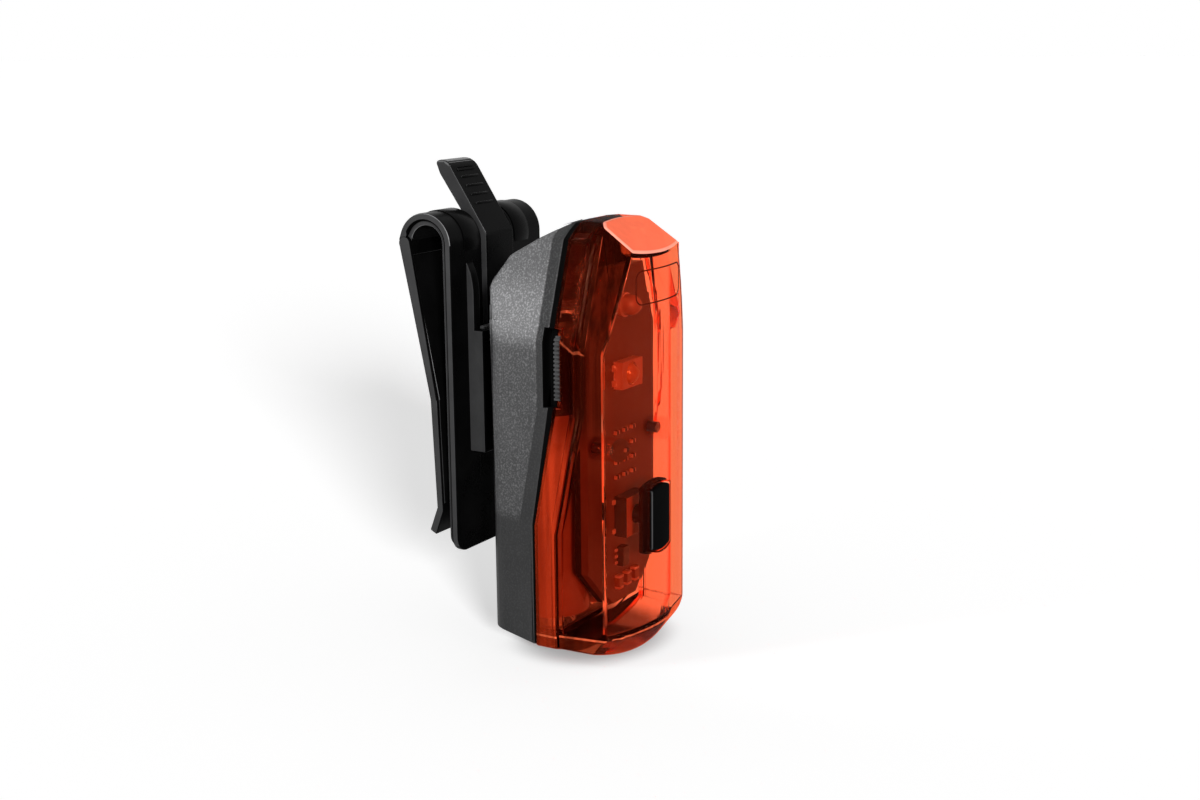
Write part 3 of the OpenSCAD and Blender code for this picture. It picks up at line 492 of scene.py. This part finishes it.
CLIP_BLACK = plastic("clip_black", greys(0.0008, 0.0016), rough=(0.24, 0.34), shine=0.022)
CLIP_EDGE = plastic("clip_edge", greys(0.02, 0.03), rough=(0.5, 0.6),
                    grain=0.8, grains=4200.0, shine=0.15)
# Painted highlight: a paler grey for thin lines on the clip's rounded edges and the ribs' upper
# flanks.
CLIP_HIGHLIGHT = plastic("clip_painted_highlight", greys(0.05, 0.13), rough=(0.3, 0.4), shine=0.2)
LINER_BLACK = plastic("liner_black", greys(0.001, 0.002), rough=(0.5, 0.62),
                      grain=0.3, shine=0.02)
HOUSING_GREY = housing_plastic()
# Painted shade: near black for the inside of the coin slot and the line between the clip's plies.
RECESS_SHADE_BLACK = plastic("recess_painted_shade", greys(0.0004, 0.0008), rough=(0.6, 0.7), shine=0.01)
SEAL_RUBBER = plastic("seal_rubber", greys(0.0008, 0.0015), rough=(0.6, 0.75),
                      grain=0.2, shine=0.02)
CELL_SLEEVE = cell_sleeve()
CONTACT_STEEL = plastic("contact_steel", STEEL, rough=(0.22, 0.4), metal=1.0)
SCREW_BLACK = plastic("screw_black", greys(0.05, 0.08), rough=(0.35, 0.5), metal=1.0)
TINNED = plastic("tinned", TIN, rough=(0.3, 0.4))
STRIP_GREY = plastic("strip_grey", greys(0.03, 0.045), rough=(0.4, 0.5), shine=0.15)
FRAME_BLACK = plastic("frame_black", greys(0.01, 0.016), rough=(0.45, 0.6),
                      grain=0.3, shine=0.15)
BOARD_DARK = plastic("board_dark", BOARD, rough=(0.35, 0.5), shine=0.2)
EMITTER_WHITE = plastic("emitter_white", greys(0.85, 0.95), rough=(0.35, 0.5))
CHIP_BLACK = plastic("chip_black", greys(0.012, 0.02), rough=(0.4, 0.55), grain=0.2)
CAPACITOR_TAN = plastic("capacitor_tan", TAN, rough=(0.35, 0.5))
BUTTON_RUBBER = plastic("button_rubber", greys(0.001, 0.002), rough=(0.5, 0.62),
                        grain=0.3, shine=0.004)
# Painted highlight: a paler grey on the button's left edge only.
BUTTON_HIGHLIGHT = plastic("button_edge_highlight", greys(0.03, 0.045), rough=(0.4, 0.5), shine=0.08)
MARK_RED = plastic("mark_red", DEEP_RED, rough=(0.5, 0.6), shine=0.01)
EMITTER_CLEAR = plastic("emitter_clear", PALE_AMBER, rough=(0.15, 0.25))
MARKER_CLEAR = plastic("marker_clear", greys(0.7, 0.8), rough=(0.2, 0.3))
LENS_RED = red_lens("lens_red", LENS_BODY, CLEAR_SHARE, face_tint=LENS_FRONT_TINT)
LENS_RED_RIM = red_lens("lens_red_rim", LENS_BODY, share=(0.12, 0.32), fade=RIM_FADE)
# Painted shade: a nearly black, streaky scatter on the dome's sides, growing between 6 and 13 mm
# high and seen from outside only.
LENS_RED_SIDE_SHADED = red_lens("lens_red_side_shaded", SIDE_PAINTED_SHADE, share=(0.3, 0.97), fade=SIDE_SHADE_RISE)
LENS_RED_ROOF = red_lens("lens_red_roof", ROOF_BODY, share=(0.85, 0.9))
LENS_RED_FOOT = red_lens("lens_red_foot", LENS_BODY, share=(0.04, 0.1))
# Painted highlights: brighter red scatter for the lines of the crease, the bottom edge and the
# roof's edges.
LENS_GLINT = red_lens("lens_glint", GLINT_BODY, share=(0.25, 0.75))
CREASE_GLINT = red_lens("crease_glint", GLINT_BODY, share=(0.08, 0.3))
ROOF_GLINT = red_lens("roof_glint", ROOF_GLINT_BODY, share=(0.8, 0.9))
LENS_RED_POST = red_lens("lens_red_post", LENS_BODY, CLEAR_SHARE,
                         face_tint=POST_TINT, corner_tint=POST_TINT, bend=POST_IOR)


# Making pieces

MERGE_WITHIN = 0.002
FLAT_WITHIN = 0.4
SHARP_ANGLE = 24
SMOOTH_ANGLE = 40
ROUND_STEPS = 3
EDGE_SHARE = "bevel_weight_edge"


def select_only(piece):
    bpy.ops.object.select_all(action="DESELECT")
    piece.select_set(True)
    bpy.context.view_layer.objects.active = piece


@contextmanager
def editing():
    """Edit mode on the active piece, with all of it selected."""
    bpy.ops.object.mode_set(mode="EDIT")
    bpy.ops.mesh.select_all(action="SELECT")
    yield
    bpy.ops.object.mode_set(mode="OBJECT")


def apply_modifier(piece, name, kind, **values):
    modifier = piece.modifiers.new(name, kind)
    for key, value in values.items():
        setattr(modifier, key, value)
    bpy.ops.object.modifier_apply(modifier=modifier.name)


def copy_of(node):
    """A merged copy of a solid, with its flat faces whole again."""
    piece = bpy.data.objects.new(node + "_moulded", frame["nodes"][node].data.copy())
    bpy.context.scene.collection.objects.link(piece)
    select_only(piece)
    bpy.ops.mesh.customdata_custom_splitnormals_clear()
    with editing():
        bpy.ops.mesh.remove_doubles(threshold=MERGE_WITHIN * MM)
        bpy.ops.mesh.dissolve_limited(angle_limit=math.radians(FLAT_WITHIN))
    return piece


def mark_edges(piece, edge, special, sharp_from):
    """Gives every sharp outer edge its share of the widest rounding and returns the widest."""
    widest = max([edge] + [width for test, width in special])
    shape = bmesh.new()
    shape.from_mesh(piece.data)
    layers = shape.edges.layers.float
    share = layers.get(EDGE_SHARE) or layers.new(EDGE_SHARE)
    for line in shape.edges:
        line[share] = 0
        sharp = math.radians(sharp_from)
        if len(line.link_faces) != 2 or line.calc_face_angle_signed() < sharp:
            continue
        middle = (line.verts[0].co + line.verts[1].co) / (2 * MM)
        width = edge
        for test, other in special:
            if test(middle, [face.normal for face in line.link_faces]):
                width = other
        line[share] = width / widest
    shape.to_mesh(piece.data)
    shape.free()
    return widest


def cut_line(point, normal):
    """A line cut round the active piece, where its shading or its finish changes."""
    with editing():
        bpy.ops.mesh.bisect(plane_co=point * MM, plane_no=normal)


def smooth_shading():
    bpy.ops.object.shade_smooth_by_angle(angle=math.radians(SMOOTH_ANGLE))


def even_shading(piece):
    """Smooth shading that the large faces decide, so that flat faces look flat."""
    smooth_shading()
    apply_modifier(piece, "even_shading", "WEIGHTED_NORMAL", keep_sharp=True)


def dress(piece, material, slot, body, *nodes):
    piece.data.materials.clear()
    piece.data.materials.append(material)
    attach(piece, body)
    if nodes:
        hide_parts(*nodes)


def rounded(node, material, slot, edge, special=(), sharp_from=SHARP_ANGLE, cuts=()):
    """Stands for a solid: a copy with its sharp edges rounded over as in the mould."""
    piece = copy_of(node)
    widest = mark_edges(piece, edge, special, sharp_from)
    apply_modifier(piece, "rounded_edges", "BEVEL", width=widest * MM, segments=ROUND_STEPS,
                   limit_method="WEIGHT", use_clamp_overlap=False)
    for point, normal in cuts:
        cut_line(point, normal)
    even_shading(piece)
    dress(piece, material, slot, frame["nodes"][node]["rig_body"], node)
    return piece


def more_finish(piece, material, test):
    """Gives the faces that pass a test another material."""
    piece.data.materials.append(material)
    index = len(piece.data.materials) - 1
    for face in piece.data.polygons:
        if test(face.center / MM, face.normal):
            face.material_index = index


def painted(node, material):
    """A solid that keeps its shape and gets its finish."""
    solid = frame["nodes"][node]
    solid.data.materials.clear()
    solid.data.materials.append(material)


# Tests for edges and faces. Each gets the middle of an edge or a face and the normals beside the
# edge or the normal of the face.

SIDEWAYS = 0.8
HALF_SIDEWAYS = (0.4, 0.8)


def within(value, limits):
    return limits[0] < value < limits[1]


def outwards(middle, normal):
    """How far a face on either side looks away from the middle."""
    return normal.x * math.copysign(1, middle.x)


# Clip

HINGE = Vector((0, 6.3, 34.5))
TAB_ROOT = Vector((0, -0.9, 11.2))
JOINT_REACH = 1.2
BEND_Y = 2.7
BEND_Z = 34.5
BEND_REACH = 2
STRIP_X = 11
GAP_LEAN = 0.2
GAP_INWARD = -0.3
GRIP_Z = 37
GRIP_X = 2.4
TAB_END_Z = 44
TAB_END_RISE = 0.6
TAB_LINE_Z = 36
TAB_LINE_X = 3
TAB_LEAN = math.radians(33)
TAB_FACE = Vector((0, -math.cos(TAB_LEAN), math.sin(TAB_LEAN)))
RIB_X = 2.3
RIB_FLANK = (0.2, 0.95)
RIB_RISE = 0.7


def near_joint(middle, normals):
    """Where two bodies meet flush, the edges stay as they are."""
    return any(math.hypot(middle.y - axis.y, middle.z - axis.z) < JOINT_REACH
               for axis in (HINGE, TAB_ROOT))


def tab_rib(middle, normals):
    return middle.z > GRIP_Z and abs(middle.x) < GRIP_X


def tab_end(middle, normals):
    return middle.z > TAB_END_Z and any(n.z > TAB_END_RISE for n in normals)


def strip_edge(middle, normal):
    return abs(normal.x) > SIDEWAYS


def out_of_loop(middle, normal):
    """How far a face of the clip looks away from the middle of its loop."""
    if middle.z > BEND_Z:
        return normal.y * (middle.y - BEND_Y) + normal.z * (middle.z - BEND_Z)
    return normal.y * (middle.y - BEND_Y)


def outer_edge_highlight(middle, normal):
    """Rounded outer edge of the clip's strip, round the bend, which gets a painted highlight."""
    slanting = within(abs(normal.x), HALF_SIDEWAYS) and abs(middle.x) > STRIP_X
    return slanting and middle.z > BEND_Z - BEND_REACH and out_of_loop(middle, normal) > 0


def ply_gap_shade(middle, normal):
    """Rounded edge of the strip that faces the inner ply: the dark line between the two, a painted
    shade.
    """
    leaning = abs(normal.x) > GAP_LEAN and abs(middle.x) > STRIP_X
    return leaning and out_of_loop(middle, normal) < GAP_INWARD


def inner_edge_highlight(middle, normal):
    """Rounded inner edge of the inner ply, which gets a painted highlight."""
    return within(abs(normal.x), HALF_SIDEWAYS) and out_of_loop(middle, normal) < 0


def tab_edge_highlight(middle, normal):
    """Rounded long edges of the tab, which get a painted highlight."""
    slanting = within(abs(normal.x), HALF_SIDEWAYS)
    return slanting and middle.z > TAB_LINE_Z and abs(middle.x) > TAB_LINE_X


def rib_flank_highlight(middle, normal):
    """Upper flanks of the grip ribs, which get a painted highlight."""
    on_grip = abs(middle.x) < RIB_X and middle.z > GRIP_Z
    return on_grip and within(normal.dot(TAB_FACE), RIB_FLANK) and normal.z > RIB_RISE


# Housing

SHOULDER_HEIGHTS = (17.5, 27)
SHOULDER_CUTS = [(UP * height, UP) for height in SHOULDER_HEIGHTS]
REAR_TOP_Y = -11.5
REAR_TOP_Z = 24
SLOT_X = (-13.45, -11.2)
SLOT_Y = (-21, -18)
SLOT_Z = (13, 24.2)


def housing_rear_top(middle, normals):
    return middle.z > REAR_TOP_Z and middle.y > REAR_TOP_Y


def in_slot(middle, normal):
    """Faces inside the coin slot, which get a painted shade."""
    return within(middle.x, SLOT_X) and within(middle.y, SLOT_Y) and within(middle.z, SLOT_Z)


# Lens. The dome's sides have a slanting crease, and the lens turns under along a level edge near
# its bottom. Each is only a narrow line between two cuts, given a painted highlight.

LENS_SHARP_ANGLE = 18
ROOF_SLOPE = math.radians(34)
ROOF_NORMAL = Vector((0, -math.sin(ROOF_SLOPE), math.cos(ROOF_SLOPE)))
ROOF_BACK = Vector((0, -23.1, 38.5))
ROOF_WITHIN = 0.1
ROOF_FLAT = 0.99
ROOF_EDGE_WITHIN = 0.3
ROOF_EDGE_LEAN = (0.5, ROOF_FLAT)
CREASE_HIGH = Vector((0, -20.0, 23.2))
CREASE_LOW = Vector((0, -24.9, 19.8))
CREASE_ACROSS = (CREASE_LOW - CREASE_HIGH).cross(Vector(ALONG_X)).normalized()
CREASE_X = 10.5
FOOT_EDGE = UP * -20.6
FOOT_EDGE_LEAN = 0.5
FOOT_LEAN = 0.3
FOOT_UNDER = -0.5
LINE_WIDTH = 0.3
LENS_CUTS = [(centre + across * side * LINE_WIDTH / 2, across)
             for centre, across in ((CREASE_HIGH, CREASE_ACROSS), (FOOT_EDGE, UP))
             for side in BOTH_SIDES]
FRONT_WALL_Y = -27.5
DOME_AHEAD = 3.3
RIM_AHEAD = (-0.1, 3.7)
RIM_X = 12.4
RIM_TOP = 13
POST_X = 7.6
POST_Y = -27.2
POST_Z = 6.7
POST_REACH = 1.9


def ahead_of_seam(middle):
    """How far in front of the seam a face lies at its height."""
    share = (middle.z - SEAM_LOW[1]) / (SEAM_HIGH[1] - SEAM_LOW[1])
    seam = SEAM_LOW[0] + (SEAM_HIGH[0] - SEAM_LOW[0]) * min(max(share, 0), 1)
    return seam - middle.y


def on_rim(middle, normal):
    """Outer faces of the lens rim on its lower sides."""
    lower_side = abs(middle.x) > RIM_X and middle.z < RIM_TOP and abs(normal.x) > SIDEWAYS
    return lower_side and within(ahead_of_seam(middle), RIM_AHEAD)


def on_side(middle, normal):
    """Outer faces of the dome's two sides, which get a painted shade that darkens them towards the
    top.
    """
    return outwards(middle, normal) > SIDEWAYS and ahead_of_seam(middle) > DOME_AHEAD


def off_roof(middle):
    return abs((middle - ROOF_BACK).dot(ROOF_NORMAL))


def on_roof(middle, normal):
    return off_roof(middle) < ROOF_WITHIN and normal.dot(ROOF_NORMAL) > ROOF_FLAT


def round_roof(middle, normal):
    """Rounded edges of the roof, which get a painted highlight."""
    leaning = within(normal.dot(ROOF_NORMAL), ROOF_EDGE_LEAN)
    return leaning and off_roof(middle) < ROOF_EDGE_WITHIN


def in_post(middle, normal):
    """Faces of the two screw posts behind the lens front."""
    near = math.hypot(abs(middle.x) - POST_X, middle.z - POST_Z) < POST_REACH
    return near and middle.y > POST_Y


def in_line(middle, centre, across):
    return abs((middle - centre).dot(across)) < LINE_WIDTH / 2


def on_crease(middle, normal):
    """The crease on the dome's two sides, between the seam and the front edge, drawn as a painted
    highlight line.
    """
    along = CREASE_LOW.y < middle.y < CREASE_HIGH.y
    return along and abs(middle.x) > CREASE_X and in_line(middle, CREASE_HIGH, CREASE_ACROSS)


def on_foot(middle, normal):
    """Outer faces of the dome below the edge near its bottom."""
    outer = (outwards(middle, normal) > FOOT_LEAN or normal.y < -FOOT_LEAN
             or normal.z < FOOT_UNDER)
    low = middle.z < FOOT_EDGE.z - LINE_WIDTH / 2
    return outer and low and ahead_of_seam(middle) > DOME_AHEAD


def on_foot_edge(middle, normal):
    """The edge near the bottom, on the outer faces, drawn as a painted highlight line."""
    in_front = normal.y < -FOOT_EDGE_LEAN and middle.y < FRONT_WALL_Y
    outer = outwards(middle, normal) > FOOT_EDGE_LEAN or in_front
    return outer and in_line(middle, FOOT_EDGE, UP)


# Button and switch

BUTTON_SLANT = (-0.9, -0.5)
BUTTON_LEAN = -0.2
LID_FACING = -0.9
LID_Y = -24.9


def button_edge_highlight(middle, normal):
    """Rounded left edge of the button, which gets a painted highlight."""
    return within(normal.x, BUTTON_SLANT) and normal.y < BUTTON_LEAN


def switch_lid(middle, normal):
    return normal.y < LID_FACING and middle.y < LID_Y


# Pieces that stand for a solid, with their edges, and the solids that only get a finish

RIB_EDGE = 0.06
TAB_END_EDGE = 0.6
REAR_TOP_EDGE = 0.9

place_camera()

flush = (near_joint, 0)
plate = rounded("clip_plate", CLIP_BLACK, "clip_black", edge=0.25, special=[flush])
leg = rounded("clip_leg", CLIP_BLACK, "clip_black", edge=0.2, special=[flush])
tab = rounded("release_tab", CLIP_BLACK, "clip_black", edge=0.25,
              special=[flush, (tab_rib, RIB_EDGE), (tab_end, TAB_END_EDGE)])
plate_ply = rounded("plate_liner", LINER_BLACK, "liner_black", edge=0.15, special=[flush])
leg_ply = rounded("leg_liner", LINER_BLACK, "liner_black", edge=0.15, special=[flush])
housing = rounded("rear_housing", HOUSING_GREY, "housing_grey", edge=0.25,
                  special=[(housing_rear_top, REAR_TOP_EDGE)], cuts=SHOULDER_CUTS)
lens = rounded("lens", LENS_RED, "lens_red", edge=0.25,
               sharp_from=LENS_SHARP_ANGLE, cuts=LENS_CUTS)
button = rounded("button_cap", BUTTON_RUBBER, "button_rubber", edge=0.35)
switch = rounded("tact_switch", CHIP_BLACK, "chip_black", edge=0.12)

for piece, material, test in (
        (plate, CLIP_EDGE, strip_edge),
        (plate, CLIP_HIGHLIGHT, outer_edge_highlight),
        (plate, RECESS_SHADE_BLACK, ply_gap_shade),
        (leg, CLIP_EDGE, strip_edge),
        (leg, CLIP_HIGHLIGHT, outer_edge_highlight),
        (tab, CLIP_EDGE, strip_edge),
        (tab, CLIP_HIGHLIGHT, tab_edge_highlight),
        (tab, CLIP_HIGHLIGHT, rib_flank_highlight),
        (plate_ply, CLIP_EDGE, strip_edge),
        (plate_ply, CLIP_HIGHLIGHT, inner_edge_highlight),
        (leg_ply, CLIP_EDGE, strip_edge),
        (leg_ply, CLIP_HIGHLIGHT, inner_edge_highlight),
        (housing, RECESS_SHADE_BLACK, in_slot),
        (lens, LENS_RED_SIDE_SHADED, on_side),
        (lens, LENS_RED_RIM, on_rim),
        (lens, LENS_RED_ROOF, on_roof),
        (lens, LENS_RED_POST, in_post),
        (lens, CREASE_GLINT, on_crease),
        (lens, LENS_RED_FOOT, on_foot),
        (lens, LENS_GLINT, on_foot_edge),
        (lens, ROOF_GLINT, round_roof),
        (button, BUTTON_HIGHLIGHT, button_edge_highlight),
        (switch, TINNED, switch_lid)):
    more_finish(piece, material, test)

for node, material in (
        ("seal_ring", SEAL_RUBBER),
        ("cell_left", CELL_SLEEVE),
        ("cell_right", CELL_SLEEVE),
        ("cell_terminals", CONTACT_STEEL),
        ("contact_bridge", CONTACT_STEEL),
        ("contact_springs", CONTACT_STEEL),
        ("contact_plates", CONTACT_STEEL),
        ("pry_strip", STRIP_GREY),
        ("inner_frame", FRAME_BLACK),
        ("circuit_board", BOARD_DARK),
        ("board_screws", SCREW_BLACK),
        ("main_emitter", EMITTER_WHITE),
        ("emitter_dome", EMITTER_CLEAR),
        ("marker_emitter", MARKER_CLEAR),
        ("driver_chip", CHIP_BLACK),
        ("chip_pins", TINNED),
        ("resistors", CHIP_BLACK),
        ("capacitors", CAPACITOR_TAN),
        ("switch_plunger", FRAME_BLACK)):
    painted(node, material)


# Solder ends, legs and feet on the front of the board, each at an x and a height

EDGE_STEPS = 2
BOARD_FRONT = -23.0
RESISTOR_COLUMNS = (-2.4, 0, 2.4)
RESISTOR_ROWS = (1.2, 3.4, 5.6, 7.8)
RESISTOR_END_X = 0.42
CAPACITOR_Z = -14.6
CAPACITOR_END_Z = 0.85
SWITCH_Z = -4.6
SWITCH_LEG_X = 3.25
SWITCH_LEG_Z = 2.2
EMITTER_Z = 16.2
EMITTER_FOOT_X = 3.1
EMITTER_FOOT_Z = 1.1


def block(centre, size, edge):
    """A small block with rounded edges."""
    bpy.ops.object.select_all(action="DESELECT")
    bpy.ops.mesh.primitive_cube_add(size=MM, location=Vector(centre) * MM)
    piece = bpy.context.object
    piece.scale = size
    bpy.ops.object.transform_apply(location=True, rotation=True, scale=True)
    with editing():
        bpy.ops.mesh.bevel(offset=edge * MM, segments=EDGE_STEPS)
    return piece


def soldered(name, spots, off, size, edge):
    """Equal tinned blocks at several spots, with their middles off the board, as one piece."""
    pieces = [block((x, BOARD_FRONT - off, z), size, edge) for x, z in spots]
    select_only(pieces[0])
    for piece in pieces:
        piece.select_set(True)
    bpy.ops.object.join()
    piece = bpy.context.object
    piece.name = name
    even_shading(piece)
    dress(piece, TINNED, "contact_steel", "lens_unit")


def four_spots(middle_z, x, z):
    return [(side * x, middle_z + end * z) for side in BOTH_SIDES for end in BOTH_SIDES]


resistor_spots = [(x + side * RESISTOR_END_X, z)
                  for x in RESISTOR_COLUMNS for z in RESISTOR_ROWS for side in BOTH_SIDES]
capacitor_spots = [(x, CAPACITOR_Z + end * CAPACITOR_END_Z)
                   for x in RESISTOR_COLUMNS for end in BOTH_SIDES]
soldered("resistor_ends", resistor_spots, off=0.21, size=(0.28, 0.44, 0.56), edge=0.06)
soldered("capacitor_ends", capacitor_spots, off=0.42, size=(1.28, 0.86, 0.4), edge=0.08)
soldered("switch_legs", four_spots(SWITCH_Z, SWITCH_LEG_X, SWITCH_LEG_Z),
         off=0.15, size=(0.8, 0.3, 0.7), edge=0.08)
soldered("emitter_feet", four_spots(EMITTER_Z, EMITTER_FOOT_X, EMITTER_FOOT_Z),
         off=0.15, size=(0.8, 0.3, 0.9), edge=0.08)


# Frame line on the lens and bands on the knuckles, each from a flat rectangle

MARK_CENTRE = (0.4, -30.5, 29.4)
MARK_SIZE = (13, 4.9)
MARK_CORNER = 1.3
MARK_CORNER_STEPS = 6
MARK_CUTS = 7
MARK_LINE = 0.2
MARK_THICKNESS = 0.06

KNUCKLE_R = 4.5
BAND_RISE = 0.14
BAND_FROM = 4.6
BAND_TO = 8.5
BAND_CORNER = 0.06
BAND_START = math.radians(15)
BAND_TURN = math.radians(130)
BAND_END = BAND_TURN - BAND_START
BAND_STEPS = 30
DIVE_TURN = math.radians(36)
DIVE_SHIFT = 2
DIVE_STEPS = 10


def flat_piece(name, place, turn, size):
    """A rectangle at a place in metres, turned about x."""
    bpy.ops.object.select_all(action="DESELECT")
    bpy.ops.mesh.primitive_plane_add(size=MM, location=place, rotation=(turn, 0, 0))
    piece = bpy.context.object
    piece.name = name
    piece.scale = (*size, 1)
    bpy.ops.object.transform_apply(location=True, rotation=True, scale=True)
    return piece


def mark_frame():
    """Plain rounded frame line on the lens front."""
    piece = flat_piece("mark_frame", Vector(MARK_CENTRE) * MM, math.pi / 2, MARK_SIZE)
    with editing():
        bpy.ops.mesh.bevel(offset=MARK_CORNER * MM, segments=MARK_CORNER_STEPS, affect="VERTICES")
        bpy.ops.mesh.select_all(action="SELECT")
        bpy.ops.mesh.inset(thickness=MARK_LINE * MM)
        bpy.ops.mesh.delete(type="FACE")
        bpy.ops.mesh.select_all(action="SELECT")
        bpy.ops.mesh.subdivide(number_cuts=MARK_CUTS)
    apply_modifier(piece, "on_the_lens", "SHRINKWRAP", target=lens, wrap_method="PROJECT",
                   use_project_y=True, use_positive_direction=True)
    apply_modifier(piece, "line", "SOLIDIFY", thickness=MARK_THICKNESS * MM, offset=0)
    smooth_shading()
    dress(piece, MARK_RED, "lens_red", "lens_unit")


def knuckle_band(name, side):
    """Raised band on the inner half of a knuckle, spun round the bend from the front over the
    top. A tighter second spin takes its end down into the knuckle."""
    start = mm(side * (BAND_FROM + BAND_TO) / 2, BEND_Y - KNUCKLE_R * math.cos(BAND_START),
               BEND_Z - KNUCKLE_R * math.sin(BAND_START))
    bend = mm(0, BEND_Y, BEND_Z)
    dive = mm(0, BEND_Y - DIVE_SHIFT * math.cos(BAND_END),
              BEND_Z + DIVE_SHIFT * math.sin(BAND_END))
    piece = flat_piece(name, start, BAND_START, (BAND_TO - BAND_FROM, 2 * BAND_RISE))
    with editing():
        bpy.ops.mesh.bevel(offset=BAND_CORNER * MM, segments=EDGE_STEPS, affect="VERTICES")
        bpy.ops.mesh.select_all(action="SELECT")
        bpy.ops.mesh.spin(steps=BAND_STEPS, angle=BAND_TURN, center=bend, axis=ALONG_X)
        bpy.ops.mesh.spin(steps=DIVE_STEPS, angle=DIVE_TURN, center=dive, axis=ALONG_X)
        bpy.ops.mesh.select_all(action="SELECT")
        bpy.ops.mesh.normals_make_consistent(inside=False)
    smooth_shading()
    dress(piece, CLIP_BLACK, "clip_black", "clip")


mark_frame()
knuckle_band("knuckle_band_left", -1)
knuckle_band("knuckle_band_right", 1)


# Stage and light, with lengths in metres except for the gap under the part

FLOOR_SIZE = 12
FLOOR_GAP = 0.02
FLOOR_GREY = (0.8, 0.8, 0.8, 1)
FLOOR_GLOW = 0.49
CONTACT_SHADOW_CENTRE = (0, -18 * MM, 0)
CONTACT_SHADOW_SIZE = (14 * MM, 12 * MM, 1)
CONTACT_SHADOW_FADE = (0.6, 1.1)
CONTACT_SHADOW_GLOW = 0.2
AMBIENT = 0.3
KEY_TOWARDS = Vector((0.69, 0.69, -0.26))
KEY_POWER = 4.2
KEY_SOFTNESS = 12
PANEL_PLACE = Vector((-0.055, 0.02, 0.055))
PANEL_AIM = Vector((-0.013, -0.012, 0.023))
PANEL_SIZE = 0.02
PANEL_POWER = 0.0026
PANEL_SPREAD = 45


def show_rays(nodes, links):
    """1 for camera, glossy and transmission rays, else 0."""
    path = nodes.new("ShaderNodeLightPath").outputs
    seen = math_node(nodes, links, "MAXIMUM", path["Is Camera Ray"], path["Is Glossy Ray"])
    return math_node(nodes, links, "MAXIMUM", seen, path["Is Transmission Ray"])


def lay_floor():
    """White floor, with a painted contact shadow where the part stands on it."""
    bpy.ops.object.select_all(action="DESELECT")
    bpy.ops.mesh.primitive_plane_add(size=FLOOR_SIZE, location=(0, 0, cad_low.z - FLOOR_GAP * MM))
    floor = bpy.context.object
    floor.name = "floor"
    material, nodes, links = new_material("floor_white")
    shader = nodes["Principled BSDF"]
    shader.inputs["Base Color"].default_value = FLOOR_GREY
    shader.inputs["Roughness"].default_value = 1.0
    shader.inputs["Specular IOR Level"].default_value = 0.0
    # Painted contact shadow: the floor's glow, and the white seen through the lens, drop around
    # where the part stands.
    around = add_node(nodes, "ShaderNodeMapping", vector_type="TEXTURE",
                      Location=CONTACT_SHADOW_CENTRE, Scale=CONTACT_SHADOW_SIZE)
    links.new(object_place(nodes), around.inputs["Vector"])
    reach = add_node(nodes, "ShaderNodeVectorMath", operation="LENGTH")
    links.new(around.outputs[0], reach.inputs[0])
    outside_painted_shadow = between(nodes, links, reach.outputs["Value"], *CONTACT_SHADOW_FADE, CONTACT_SHADOW_GLOW, 1.0,
                         smooth=True)
    glowing = math_node(nodes, links, "MULTIPLY", outside_painted_shadow, FLOOR_GLOW)
    glow = nodes.new("ShaderNodeEmission")
    links.new(math_node(nodes, links, "MULTIPLY", show_rays(nodes, links), glowing),
              glow.inputs["Strength"])
    both = nodes.new("ShaderNodeAddShader")
    links.new(shader.outputs[0], both.inputs[0])
    links.new(glow.outputs[0], both.inputs[1])
    through = nodes.new("ShaderNodeEmission")
    links.new(outside_painted_shadow, through.inputs["Strength"])
    behind_glass = nodes.new("ShaderNodeLightPath").outputs["Is Transmission Ray"]
    surface = mix_shaders(nodes, links, behind_glass, both.outputs[0], through.outputs[0])
    links.new(surface, nodes["Material Output"].inputs["Surface"])
    floor.data.materials.append(material)


def white_world():
    world = bpy.data.worlds.new("studio")
    bpy.context.scene.world = world
    world.use_nodes = True
    nodes, links = world.node_tree.nodes, world.node_tree.links
    sky = nodes["Background"]
    sky.inputs["Color"].default_value = WHITE
    strength = scaled(nodes, links, show_rays(nodes, links), AMBIENT, 1.0)
    links.new(strength, sky.inputs["Strength"])


def add_lamp(name, kind, towards, **values):
    lamp = bpy.data.objects.new(name, bpy.data.lights.new(name, kind))
    for key, value in values.items():
        setattr(lamp.data, key, value)
    lamp.rotation_mode = "QUATERNION"
    lamp.rotation_quaternion = towards.to_track_quat("-Z", "Y")
    bpy.context.scene.collection.objects.link(lamp)
    return lamp


lay_floor()
white_world()
add_lamp("key", "SUN", KEY_TOWARDS, energy=KEY_POWER, angle=math.radians(KEY_SOFTNESS))
left_panel = add_lamp("left_panel", "AREA", PANEL_AIM - PANEL_PLACE, energy=PANEL_POWER,
                      size=PANEL_SIZE, spread=math.radians(PANEL_SPREAD))
left_panel.location = PANEL_PLACE
left_panel.visible_glossy = False

bpy.context.scene.view_settings.view_transform = "Standard"
